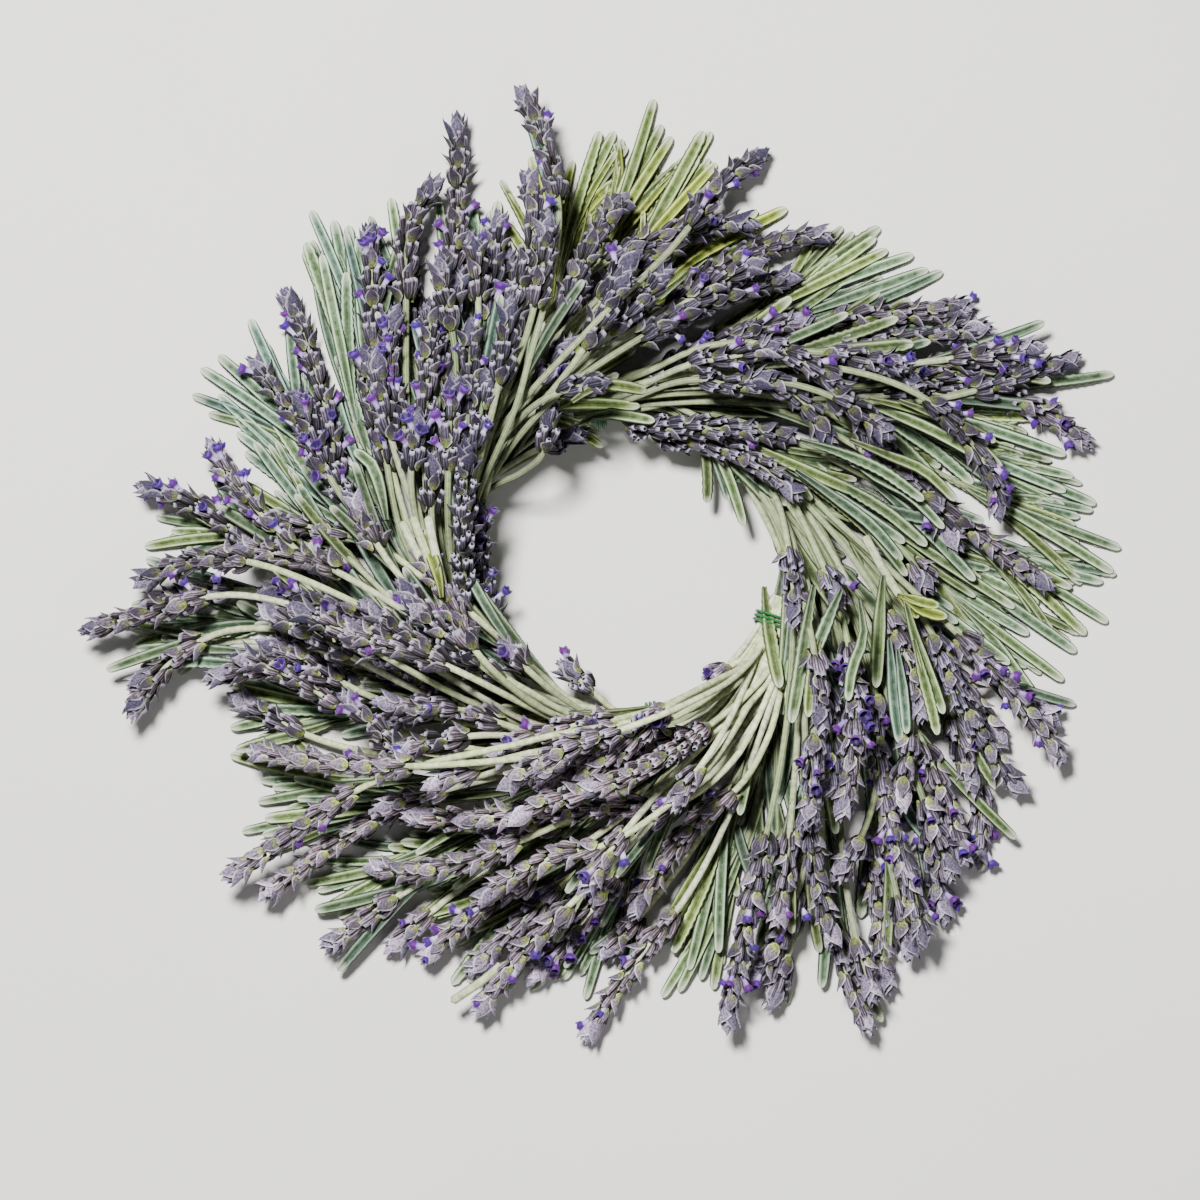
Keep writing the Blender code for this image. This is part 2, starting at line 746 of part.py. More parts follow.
def loft(sections, pointed):
    """A closed mesh through rings of points, ending in a cap or in a point."""
    mesh = bmesh.new()
    rings = [[mesh.verts.new(point) for point in section] for section in sections]
    sides = len(rings[0])
    for one, two in zip(rings, rings[1:]):
        if len(two) == 1:
            for side in range(sides):
                mesh.faces.new((one[side], one[(side + 1) % sides], two[0]))
            continue
        for side in range(sides):
            after = (side + 1) % sides
            mesh.faces.new((one[side], one[after], two[after]))
            mesh.faces.new((one[side], two[after], two[side]))
    mesh.faces.new(reversed(rings[0]))
    if not pointed:
        mesh.faces.new(rings[-1])
    bmesh.ops.recalc_face_normals(mesh, faces=mesh.faces)
    return mesh


def cross_frame(direction):
    """Two directions across a run: one level, one upwards."""
    level = direction.cross(Vector((0, 0, 1)))
    if level.length < 1e-6:
        level = Vector((1, 0, 0))
    level.normalize()
    return level, level.cross(direction).normalized()


def ring_of(centre, direction, radius, sides, turn):
    level, upward = cross_frame(direction)
    points = []
    for side in range(sides):
        angle = turn + math.tau * side / sides
        points.append(centre + level * math.cos(angle) * radius + upward * math.sin(angle) * radius)
    return points


def knot_direction(path, index):
    before = path[max(index - 1, 0)]
    after = path[min(index + 1, len(path) - 1)]
    return (after - before).normalized()


def head_mesh(strand):
    """A three-sided stem, then whorls of three pointed calyces, turn about."""
    path = path_of(strand)
    sections = []
    for index in range(strand.head_start + 1):
        radius = ROOT_RADIUS if index < 2 else STEM_RADIUS
        sections.append(ring_of(path[index], knot_direction(path, index), radius, 3, math.pi / 2))
    turn = math.pi / 2
    last = len(path) - 2
    for index in range(strand.head_start, len(path) - 1):
        run = path[index + 1] - path[index]
        direction = run.normalized()
        taper = LAST_TAPER if index == last else 1.0
        if index == strand.head_start:
            taper *= FIRST_TAPER
        if index > strand.head_start:
            turn += math.pi / 3
            sections.append(ring_of(path[index], knot_direction(path, index), HEAD_CORE, 3, turn))
        rim = path[index] + run * WHORL_RIM
        sections.append(ring_of(rim, direction, HEAD_RADIUS * taper, 3, turn))
    sections.append([path[-1]])
    return loft(sections, True)


def shoot_mesh(strand):
    path = path_of(strand)
    sections = [
        ring_of(path[index], knot_direction(path, index), strand.widths[index], 3, math.pi / 2)
        for index in range(len(path))
    ]
    return loft(sections, False)


def leaf_mesh(strand):
    """A narrow blade, ridged along its middle."""
    path = path_of(strand)
    sections = []
    for index in range(3):
        level, upward = cross_frame(knot_direction(path, index))
        side = level * math.cos(strand.roll) + upward * math.sin(strand.roll)
        over = upward * math.cos(strand.roll) - level * math.sin(strand.roll)
        half = strand.widths[index]
        low = over * LEAF_THICKNESS / 2
        sections.append([path[index] - side * half - low, path[index] + side * half - low, path[index] + low])
    sections.append([path[3]])
    return loft(sections, True)


MESHES = {"head": head_mesh, "shoot": shoot_mesh, "leaf": leaf_mesh}


def material(name, colour, roughness, metallic=0.0):
    made = bpy.data.materials.get(name)
    if made is None:
        made = bpy.data.materials.new(name)
        made.use_nodes = True
        shader = made.node_tree.nodes["Principled BSDF"]
        shader.inputs["Base Color"].default_value = (*colour, 1.0)
        shader.inputs["Roughness"].default_value = roughness
        shader.inputs["Metallic"].default_value = metallic
    return made


def add_object(name, mesh, collection=None):
    data = bpy.data.meshes.new(name)
    mesh.to_mesh(data)
    mesh.free()
    made = bpy.data.objects.new(name, data)
    (collection or bpy.context.scene.collection).objects.link(made)
    return made


def keep_largest_shell(data):
    """Drop loose scraps and the walls of sealed pockets, so that one body stays."""
    mesh = bmesh.new()
    mesh.from_mesh(data)
    mesh.faces.ensure_lookup_table()
    seen, shells = set(), []
    for face in mesh.faces:
        if face in seen:
            continue
        shell, queue = [], [face]
        seen.add(face)
        while queue:
            here = queue.pop()
            shell.append(here)
            for edge in here.edges:
                for other in edge.link_faces:
                    if other not in seen:
                        seen.add(other)
                        queue.append(other)
        shells.append(shell)
    shells.sort(key=len)
    scraps = [face for shell in shells[:-1] for face in shell]
    if scraps:
        bmesh.ops.delete(mesh, geom=scraps, context="FACES")
    mesh.to_mesh(data)
    mesh.free()


def fuse(name, meshes):
    """Join meshes that overlap at their roots into one body."""
    parts = bpy.data.collections.new(name + "_parts")
    bpy.context.scene.collection.children.link(parts)
    base = add_object(name, meshes[0])
    for number, mesh in enumerate(meshes[1:]):
        add_object(f"{name}_{number}", mesh, parts)
    union = base.modifiers.new("union", "BOOLEAN")
    union.operation = "UNION"
    union.solver = "MANIFOLD"
    union.operand_type = "COLLECTION"
    union.collection = parts
    depsgraph = bpy.context.evaluated_depsgraph_get()
    joined = bpy.data.meshes.new_from_object(base.evaluated_get(depsgraph))
    base.modifiers.clear()
    base.data = joined
    for part in list(parts.objects):
        bpy.data.objects.remove(part)
    bpy.data.collections.remove(parts)
    keep_largest_shell(joined)
    return base


def make_ring():
    """The wire ring, of a round wire with a flat facet under it."""
    centre_height = BINDING_WIRE + GAP + RING_WIRE / 2
    radius = RING_WIRE / 2 / math.cos(math.pi / RING_SIDES)
    mesh = bmesh.new()
    rings = []
    for segment in range(RING_SEGMENTS):
        angle = math.tau * segment / RING_SEGMENTS
        ring = []
        for side in range(RING_SIDES):
            around = math.tau * (side + 0.5) / RING_SIDES
            away = RING_RADIUS + radius * math.cos(around)
            height = centre_height + radius * math.sin(around)
            ring.append(mesh.verts.new((away * math.cos(angle), away * math.sin(angle), height)))
        rings.append(ring)
    for index, ring in enumerate(rings):
        following = rings[(index + 1) % RING_SEGMENTS]
        for side in range(RING_SIDES):
            after = (side + 1) % RING_SIDES
            mesh.faces.new((ring[side], following[side], following[after], ring[after]))
    bmesh.ops.recalc_face_normals(mesh, faces=mesh.faces)
    made = add_object("ring_wire", mesh)
    made.data.materials.append(material("ring_green", (0.06, 0.11, 0.06), 0.5))
    return made


def binding_path(bunch):
    """Turns of wire round the bundle and the ring, with their outward directions."""
    centre, clockwise, outward = tie_frame(bunch)
    half = BUNDLE_WIDTH / 2 + GAP + BINDING_WIRE / 2
    low = BINDING_WIRE / 2
    high = binding_top() - BINDING_WIRE / 2
    cut = BUNDLE_ROUNDING
    outline = (
        (-half + cut, low), (half - cut, low), (half, low + cut), (half, high - cut),
        (half - cut, high), (-half + cut, high), (-half, high - cut), (-half, low + cut),
    )
    steps = BINDING_TURNS * len(outline) + 1
    points = []
    for step in range(steps + 1):
        across, height = outline[step % len(outline)]
        along = (step / len(outline) - BINDING_TURNS / 2) * BINDING_PITCH
        plan = centre + outward * across + clockwise * along
        points.append(Vector((plan[0], plan[1], height)))
    return points, Vector((clockwise[0], clockwise[1], 0.0))


def make_binding(bunch):
    """Green binding wire, square in section so that it lies flat underneath."""
    path, along = binding_path(bunch)
    half = BINDING_WIRE / 2
    sections = []
    for index, point in enumerate(path):
        before = (point - path[index - 1]) if index else (path[1] - point)
        after = (path[index + 1] - point) if index < len(path) - 1 else before
        before = (before - along * before.dot(along)).normalized()
        after = (after - along * after.dot(along)).normalized()
        side_before = before.cross(along)
        side_after = after.cross(along)
        mitre = (side_before + side_after).normalized()
        mitre *= half / max(0.3, mitre.dot(side_before))
        low, high = point - mitre, point + mitre
        wide = along * half
        sections.append([low - wide, low + wide, high + wide, high - wide])
    made = add_object(f"binding_{bunch}", loft(sections, False))
    made.data.materials.append(material("binding_green", (0.03, 0.13, 0.05), 0.45))
    return made


def make_bunches():
    """The stems, heads and leaves, joined node by node."""
    strands = lay_out()
    Settling(strands).run()
    nodes = {}
    for strand in strands:
        nodes.setdefault(strand.node, []).append(strand)
    for name, members in nodes.items():
        meshes = [MESHES[strand.kind](strand) for strand in members]
        made = fuse(name, meshes)
        made.data.materials.clear()
        if "heads" in name:
            made.data.materials.append(material("lavender_flower", (0.24, 0.20, 0.33), 0.85))
        else:
            made.data.materials.append(material("lavender_leaf", (0.27, 0.36, 0.22), 0.8))


def centre_on_box():
    """Put the middle of the whole box over the origin, with its underside at zero."""
    objects = [made for made in bpy.context.scene.objects if made.type == "MESH"]
    corners = [made.matrix_world @ vertex.co for made in objects for vertex in made.data.vertices]
    low = [min(corner[axis] for corner in corners) for axis in range(3)]
    high = [max(corner[axis] for corner in corners) for axis in range(3)]
    shift = Vector((-(low[0] + high[0]) / 2, -(low[1] + high[1]) / 2, -low[2]))
    for made in objects:
        for vertex in made.data.vertices:
            vertex.co += shift


def main():
    for made in list(bpy.data.objects):
        bpy.data.objects.remove(made)
    make_ring()
    for bunch in ORDER:
        make_binding(bunch)
    make_bunches()
    centre_on_box()


main()
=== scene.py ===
import copy
import functools
import json
import math
import random

import bpy
import numpy as np
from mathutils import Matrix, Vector

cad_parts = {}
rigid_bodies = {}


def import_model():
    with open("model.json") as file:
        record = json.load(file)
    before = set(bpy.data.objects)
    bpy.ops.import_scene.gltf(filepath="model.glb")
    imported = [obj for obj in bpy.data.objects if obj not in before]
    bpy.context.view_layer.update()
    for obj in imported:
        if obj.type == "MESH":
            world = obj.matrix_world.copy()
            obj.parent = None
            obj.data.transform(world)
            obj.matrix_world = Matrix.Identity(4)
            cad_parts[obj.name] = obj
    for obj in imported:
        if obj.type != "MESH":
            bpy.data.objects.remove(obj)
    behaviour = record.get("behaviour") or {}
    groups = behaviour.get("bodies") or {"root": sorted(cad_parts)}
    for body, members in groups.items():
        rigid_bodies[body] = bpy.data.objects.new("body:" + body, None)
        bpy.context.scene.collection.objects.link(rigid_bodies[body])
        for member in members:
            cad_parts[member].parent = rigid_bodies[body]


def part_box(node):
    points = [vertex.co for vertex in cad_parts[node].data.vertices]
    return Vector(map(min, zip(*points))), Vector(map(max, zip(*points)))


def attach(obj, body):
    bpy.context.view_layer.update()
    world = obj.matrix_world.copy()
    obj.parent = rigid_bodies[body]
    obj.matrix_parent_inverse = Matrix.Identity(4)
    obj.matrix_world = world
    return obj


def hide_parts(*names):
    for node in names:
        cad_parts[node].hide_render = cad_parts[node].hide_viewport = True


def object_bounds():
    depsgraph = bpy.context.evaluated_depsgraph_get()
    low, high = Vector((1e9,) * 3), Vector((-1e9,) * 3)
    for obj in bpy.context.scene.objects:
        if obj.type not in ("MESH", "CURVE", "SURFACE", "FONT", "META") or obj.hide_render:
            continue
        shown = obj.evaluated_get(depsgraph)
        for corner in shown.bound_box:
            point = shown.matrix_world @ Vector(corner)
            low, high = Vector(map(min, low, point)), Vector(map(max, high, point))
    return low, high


# A fresh lavender wreath. The strands are laid out and settled as in the part's
# source, with the same values and draws, and then dressed with fine organs.

# Picture scale: the places of the bunches, heads and leaf tips are given on a
# 1200 pixel square picture of the wreath, seen straight from the front
PIXEL = 0.000335
RING_CENTRE_PIXEL = (625.0, 565.0)

# Least length that a direction is divided by
NO_LENGTH = 1e-9

# Ring and binding wire
RING_RADIUS = 0.057
RING_WIRE = 0.004
BINDING_WIRE = 0.0009
BINDING_TURNS = 3
BINDING_PITCH = 0.0014
GAP = 0.0003

# Bundle of stems at each binding, which holds their first knots
HELD_KNOTS = 2
LANE_PITCH = 0.0014
LANE_SPREAD = 1.35
BUNDLE_WIDTH = 0.018
BUNDLE_ROUNDING = 0.0024
LAYER_PITCH = 0.0030
TAIL = 0.008
EXIT = 0.006
ROOT_RADIUS = 0.0010

# Stems: radii, the places of their knots, and how far they run straight at
# their start and end, as a share of their length
STEM_RADIUS = 0.0016
SHOOT_RADIUS = 0.0013
STEM_PLACES = (0.25, 0.6, 1.0)
START_PULL = 0.28
END_PULL = 0.30

# Heads: their radius, and a knot for each whorl
HEAD_RADIUS = 0.0049
WHORL_LENGTH = 0.0142
FEWEST_WHORLS = 2
MOST_WHORLS = 5

# Leaves: the places of their knots, with their width there as a share
LEAF_HALF_WIDTH = 0.0026
LEAF_WIDTH_RANGE = (0.88, 1.05)
LEAF_THICKNESS = 0.0011
LEAF_LENGTH = (0.044, 0.060)
LEAF_PLACES = (0.36, 0.74, 1.0)
LEAF_TAPER = (0.3, 0.8, 1.0, 0.35)
LEAF_BEND = 0.30
LEAF_ROLL = math.radians(5)
LEAF_RANKS = (-0.2, 0.25)
LEAVES_PER_SHOOT = 4

# Leafy shoots, counted in knots: where the first leaf may grow, how near the end
# the last may, and how far ahead a leaf's direction is read
FIRST_LEAF = 2.3
CHAIN_END = 1.001
LEAF_AHEAD = 0.3

# Leafy shoots: places tried for a leaf's foot, the longest leaf by the way to its
# tip, the ranks in a layer, and how far short of its tips a shoot ends
FOOT_PLACES = 24
LONGEST_LEAF = (1.1, 0.006)
SHOOT_RANKS = (0.1, 0.7)
SHOOT_END = 0.8
SHORTEST_END = 0.004

# Levels of the heads in a layer: how near heads may pass, as a share of their
# radius, and the rank that a level is worth
LEVEL_STEP = 0.004
LEVEL_REACH = 1.2
LEVEL_RANK = 0.1
PLACE_RANK = 0.001

# Settling of the layers on each other: the strands start on slopes, fall and
# straighten for the first phase, straighten less for the second, then only
# make room for each other
SAMPLE_STEP = 0.0022
CLEARANCE = 0.0005
SURFACE_CLEARANCE = 0.0012
BINDING_MARGIN = (0.004, 0.003)
START_SLOPE = 0.30
LEAF_RISE = 0.016
SETTLE_STEPS = 1200
PHASE_ENDS = (720, 900)
STRAIGHTEN = (0.2, 0.02)
FALL = 0.00008
PUSH = 0.6

# A bunch lies over the next two in the order of the overlap and is clear of the
# one across the ring
LIES_OVER = (1, 2)
ACROSS_RING = 3

# Angle of each binding round the ring, in degrees, in the order of the overlap
TIE_ANGLES = {"1": 217.0, "2": 163.0, "3": 100.0, "4": 39.0, "5": -20.0, "6": -79.0}

# Heads of each bunch: picture points at the foot, middle and tip of each head,
# across and down by turns
HEADS_LOW = {
    "1": (
        (450, 265, 457, 190, 455, 106), (372, 345, 370, 290, 365, 217), (558, 200, 545, 145, 520, 82),
        (490, 320, 494, 260, 498, 205),
    ),
    "2": (
        (600, 345, 650, 312, 715, 300), (540, 385, 558, 358, 575, 335), (590, 330, 597, 297, 600, 265),
        (545, 445, 567, 436, 590, 430),
    ),
    "3": (
        (1005, 392, 1050, 412, 1097, 447), (975, 390, 1030, 372, 1088, 353), (955, 357, 1002, 352, 1050, 345),
        (832, 343, 915, 335, 998, 323), (825, 352, 868, 360, 912, 365), (832, 318, 905, 310, 980, 303),
        (855, 360, 890, 370, 925, 385),
    ),
    "4": (
        (1010, 690, 1038, 708, 1065, 728), (925, 745, 950, 805, 968, 870), (955, 720, 968, 760, 978, 800),
        (985, 790, 984, 830, 978, 873), (917, 790, 935, 860, 950, 930), (900, 900, 908, 934, 912, 967),
        (875, 822, 880, 900, 893, 1001), (838, 935, 852, 985, 874, 1042), (825, 690, 830, 745, 830, 800),
        (800, 890, 780, 945, 746, 992), (790, 830, 785, 880, 775, 930),
    ),
    "5": (
        (412, 803, 335, 845, 256, 902), (395, 900, 358, 925, 320, 955), (560, 890, 505, 940, 465, 982),
        (620, 878, 570, 940, 527, 989), (640, 920, 618, 944, 598, 965), (610, 720, 545, 732, 488, 761),
        (465, 820, 432, 818, 400, 818), (560, 825, 520, 834, 480, 845), (668, 810, 634, 830, 600, 850),
        (728, 668, 717, 677, 705, 685),
    ),
    "6": (
        (245, 540, 195, 505, 129, 484), (290, 545, 243, 495, 203, 438), (350, 535, 308, 526, 267, 520),
        (230, 590, 180, 597, 133, 607), (200, 640, 158, 672, 124, 722), (190, 650, 155, 668, 122, 692),
        (375, 620, 315, 603, 255, 590), (440, 693, 402, 676, 365, 660), (470, 612, 455, 601, 440, 590),
        (455, 640, 424, 610, 398, 577), (380, 548, 363, 518, 345, 490),
    ),
}
HEADS_HIGH = {
    "1": (
        (405, 300, 410, 225, 443, 172), (335, 480, 316, 380, 280, 284), (345, 500, 300, 425, 243, 352),
        (402, 425, 388, 365, 397, 303), (515, 310, 535, 235, 525, 172), (440, 380, 449, 325, 463, 265),
        (468, 420, 470, 370, 472, 320), (425, 440, 428, 370, 432, 300), (475, 450, 483, 410, 492, 370),
        (465, 600, 466, 520, 470, 440), (488, 622, 482, 565, 478, 500),
    ),
    "2": (
        (690, 225, 722, 182, 770, 145), (670, 305, 755, 248, 838, 232), (605, 262, 685, 228, 763, 222),
        (562, 318, 590, 250, 625, 192), (640, 340, 725, 296, 803, 272), (560, 395, 585, 388, 610, 385),
    ),
    "3": (
        (765, 345, 830, 382, 882, 452), (870, 435, 950, 510, 1060, 590), (645, 378, 735, 335, 820, 318),
        (655, 432, 740, 456, 803, 500), (630, 425, 715, 428, 797, 437), (770, 380, 800, 398, 835, 445),
        (927, 400, 982, 455, 1003, 520),
    ),
    "4": (
        (848, 645, 853, 735, 838, 822), (877, 695, 885, 790, 913, 886), (935, 635, 972, 715, 1025, 796),
        (888, 612, 910, 665, 925, 725), (960, 635, 1028, 708, 1068, 766), (812, 735, 810, 785, 805, 830),
        (766, 834, 745, 930, 727, 1036), (808, 810, 818, 880, 836, 950), (788, 550, 792, 590, 793, 632),
        (825, 570, 834, 590, 842, 610),
    ),
    "5": (
        (412, 764, 330, 763, 243, 752), (356, 791, 295, 832, 220, 883), (520, 840, 440, 868, 364, 870),
        (570, 905, 518, 960, 474, 1021), (677, 914, 630, 975, 582, 1048), (737, 790, 680, 842, 630, 922),
        (620, 728, 560, 750, 503, 787), (665, 708, 605, 760, 535, 792), (706, 727, 650, 762, 577, 792),
        (668, 805, 560, 808, 455, 822), (530, 880, 475, 915, 418, 967), (600, 845, 540, 862, 475, 903),
    ),
    "6": (
        (250, 562, 190, 562, 131, 586), (342, 573, 290, 556, 235, 548), (205, 597, 140, 615, 76, 632),
        (335, 705, 285, 675, 228, 655), (350, 655, 305, 630, 258, 610), (503, 677, 430, 647, 362, 600),
        (450, 665, 398, 645, 343, 630), (503, 723, 445, 707, 387, 722), (478, 650, 450, 600, 418, 546),
        (527, 668, 512, 653, 497, 640), (592, 691, 576, 677, 560, 662),
    ),
}

# Leafy shoots of each bunch: the foot of a tuft, then the tips of its leaves
LEAVES_LOW = {
    "1": (
        (378, 455, 307, 205, 330, 215, 345, 220, 355, 232), (362, 470, 302, 237, 343, 268, 318, 250),
        (350, 500, 245, 315, 285, 307, 213, 352, 195, 365), (352, 528, 213, 392, 232, 430, 245, 375),
    ),
    "2": (
        (578, 296, 655, 92, 663, 118, 673, 130, 640, 140), (604, 296, 713, 125, 705, 125, 718, 157, 700, 150),
        (552, 306, 615, 125, 600, 125, 590, 150, 530, 150), (640, 305, 790, 203, 760, 205, 710, 175),
    ),
    "3": (
        (745, 318, 880, 232, 892, 245, 918, 250), (750, 336, 933, 265, 840, 250, 900, 290),
        (890, 398, 1050, 415, 1053, 445, 1072, 453), (892, 420, 1080, 475, 1072, 490, 1103, 503),
        (885, 445, 1082, 525, 1128, 548, 1097, 555, 1120, 572),
        (872, 478, 1110, 582, 1078, 588, 1115, 623, 1093, 635), (850, 500, 1083, 653, 1045, 603, 1020, 608),
    ),
    "4": (
        (868, 556, 1003, 658, 1015, 665, 1045, 668), (890, 536, 1070, 682, 1035, 635, 1060, 727),
        (850, 590, 902, 745, 942, 715, 938, 737, 910, 765), (825, 760, 848, 975, 835, 930, 828, 857),
    ),
    "5": (
        (748, 846, 702, 985, 715, 995, 663, 1003, 680, 997), (780, 862, 790, 1010, 770, 960),
        (500, 826, 300, 888, 313, 895, 313, 918, 335, 922),
        (535, 842, 385, 850, 398, 845, 400, 897, 402, 937),
        (425, 782, 225, 757, 256, 783, 268, 790, 253, 805),
        (434, 806, 260, 822, 237, 835, 258, 838, 290, 780),
    ),
    "6": (
        (235, 530, 138, 546, 165, 530), (250, 620, 128, 646, 155, 640, 150, 665),
        (400, 715, 226, 687, 225, 730, 240, 710),
    ),
}
LEAVES_HIGH = {
    "1": (
        (430, 470, 388, 192, 398, 233), (478, 440, 470, 195, 490, 205, 497, 195),
        (385, 520, 362, 348, 352, 440, 375, 400),
    ),
    "2": (
        (540, 400, 560, 330, 600, 400, 640, 405), (530, 420, 580, 300, 545, 330),
    ),
    "3": (
        (720, 440, 745, 525, 803, 500, 835, 485), (760, 450, 865, 495, 885, 500, 890, 538, 908, 542),
    ),
    "4": (
        (780, 540, 830, 535, 820, 575, 860, 575), (790, 590, 782, 690, 790, 725, 808, 715, 838, 725),
        (840, 600, 875, 688, 908, 730),
    ),
    "5": (
        (726, 824, 674, 957, 690, 975, 718, 925, 720, 957), (640, 850, 563, 985, 530, 995, 585, 1005),
        (562, 868, 410, 925, 420, 920, 450, 990),
    ),
    "6": (
        (350, 560, 250, 440, 215, 470, 275, 470), (450, 690, 320, 610, 350, 720, 300, 640),
    ),
}
ORDER = sorted(TIE_ANGLES)
LAYERS = (
    ("leaves_low", LEAVES_LOW, False),
    ("leaves_high", LEAVES_HIGH, False),
    ("heads_low", HEADS_LOW, True),
    ("heads_high", HEADS_HIGH, True),
)


def to_metres(point):
    """Turn a picture point into metres from the ring's centre."""
    across = (point[0] - RING_CENTRE_PIXEL[0]) * PIXEL
    up = (RING_CENTRE_PIXEL[1] - point[1]) * PIXEL
    return np.array((across, up))


def picked_points(row):
    """Picked numbers, two by two, as points in metres."""
    return [to_metres(point) for point in zip(row[::2], row[1::2])]


def plan_distance(one, two):
    """Distance between two points in plan."""
    return float(np.hypot(*(two - one)))


def unit(vector):
    return vector / max(float(np.hypot(*vector)), NO_LENGTH)


def tie_frame(bunch):
    """Centre of a binding, its clockwise direction and its outward direction."""
    angle = math.radians(TIE_ANGLES[bunch])
    outward = np.array((math.cos(angle), math.sin(angle)))
    clockwise = np.array((math.sin(angle), -math.cos(angle)))
    return outward * RING_RADIUS, clockwise, outward


def bezier(start, start_pull, end_pull, end, places):
    """Points of a cubic curve at the places given, from 0 to 1."""
    points = []
    for t in places:
        s = 1.0 - t
        points.append(s ** 3 * start + 3 * s * s * t * start_pull + 3 * s * t * t * end_pull + t ** 3 * end)
    return points


def through_three(foot, middle, tip, count):
    """Points of a parabola through three points, without its first point."""
    points = []
    for step in range(1, count + 1):
        t = step / count
        points.append(
            foot * (1 - t) * (1 - 2 * t) + middle * 4 * t * (1 - t) + tip * t * (2 * t - 1)
        )
    return points


class Strand:
    """A stem, shoot or leaf: knots joined by straight runs."""

    def __init__(self, node, bunch, rank, kind, points, widths, heights, fixed, height):
        self.node = node
        self.bunch = bunch
        self.rank = rank
        self.kind = kind
        self.points = [np.array(point) for point in points]
        self.widths = list(widths)
        self.heights = list(heights)
        self.fixed = fixed
        self.height = height
        self.parent = None
        self.parent_place = 0.0
        self.head_start = 0
        self.roll = 0.0
        self.fill = False
        self.z = None

    def knots(self):
        return np.array([(*point, height) for point, height in zip(self.points, self.z)])


def lane_start(bunch, layer, lane, lanes):
    """Tail and exit points of a lane of the bundle at a binding."""
    centre, clockwise, outward = tie_frame(bunch)
    pitch = LANE_PITCH
    width = BUNDLE_WIDTH - (2 * BUNDLE_ROUNDING if layer in (0, len(LAYERS) - 1) else 0.0)
    if lanes > 1:
        pitch = min(LANE_PITCH, (width - 2 * ROOT_RADIUS) / (lanes - 1) / LANE_SPREAD)
    offset = outward * (lane - (lanes - 1) / 2.0) * pitch
    return centre - clockwise * TAIL + offset, centre + clockwise * EXIT + offset * LANE_SPREAD


def bearing(bunch, point):
    """Angle of a point as seen from a binding, larger towards the outside."""
    centre, clockwise, outward = tie_frame(bunch)
    away = point - centre
    return math.atan2(float(away @ outward), float(away @ clockwise))


def stem_points(bunch, layer, lane, lanes, foot, heading):
    """Knots of a stem from its tail to the foot of its head or tuft."""
    tail, leave = lane_start(bunch, layer, lane, lanes)
    clockwise = tie_frame(bunch)[1]
    reach = plan_distance(leave, foot)
    start_pull = leave + clockwise * reach * START_PULL
    end_pull = foot - heading * reach * END_PULL
    return [tail, leave] + bezier(leave, start_pull, end_pull, foot, STEM_PLACES)


def head_strand(node, bunch, layer, lane, lanes, picked):
    """A flowering stem, with a knot between its whorls."""
    foot, middle, tip = picked_points(picked)
    heading = unit(middle - foot)
    points = stem_points(bunch, layer, lane, lanes, foot, heading)
    head_start = len(points) - 1
    length = plan_distance(foot, middle) + plan_distance(middle, tip)
    whorls = max(FEWEST_WHORLS, min(MOST_WHORLS, round(length / WHORL_LENGTH)))
    points += through_three(foot, middle, tip, whorls)
    widths = [ROOT_RADIUS] * HELD_KNOTS + [STEM_RADIUS] * (head_start - HELD_KNOTS)
    widths += [HEAD_RADIUS] * (len(points) - head_start)
    strand = Strand(node, bunch, layer, "head", points, widths, widths, HELD_KNOTS, layer)
    strand.head_start = head_start
    return strand


def split_tuft(tuft):
    """Share a tuft's leaf tips out among its shoots."""
    foot, *tips = picked_points(tuft)
    shoots = max(1, math.ceil(len(tips) / LEAVES_PER_SHOOT))
    return [(foot, tips[index::shoots]) for index in range(shoots)]


def place_on(points, place):
    """Point at a place along a chain of knots, counted in knots."""
    index = min(int(place), len(points) - 2)
    share = place - index
    return points[index] * (1 - share) + points[index + 1] * share


def leaf_strand(shoot, tip, length, rng):
    """A leaf that leaves its shoot about its own length before its tip."""
    end = len(shoot.points) - CHAIN_END
    places = np.linspace(FIRST_LEAF, end, FOOT_PLACES)
    away = [abs(plan_distance(place_on(shoot.points, place), tip) - length) for place in places]
    place = float(places[int(np.argmin(away))])
    foot = place_on(shoot.points, place)
    along = unit(place_on(shoot.points, min(place + LEAF_AHEAD, end)) - foot)
    reach = plan_distance(foot, tip)
    bend = foot + along * reach * LEAF_BEND
    points = [foot]
    for t in LEAF_PLACES:
        points.append(foot * (1 - t) ** 2 + bend * 2 * t * (1 - t) + tip * t * t)
    roll = rng.uniform(-LEAF_ROLL, LEAF_ROLL)
    half = LEAF_HALF_WIDTH * rng.uniform(*LEAF_WIDTH_RANGE)
    flat = LEAF_THICKNESS / 2
    rise = flat + half * abs(math.sin(roll))
    widths = [half * share for share in LEAF_TAPER]
    rank = shoot.rank + rng.uniform(*LEAF_RANKS)
    heights = (rise, rise, rise, flat)
    leaf = Strand(shoot.node, shoot.bunch, rank, "leaf", points, widths, heights, 1, shoot.height)
    leaf.parent = shoot
    leaf.parent_place = place
    leaf.roll = roll
    return leaf


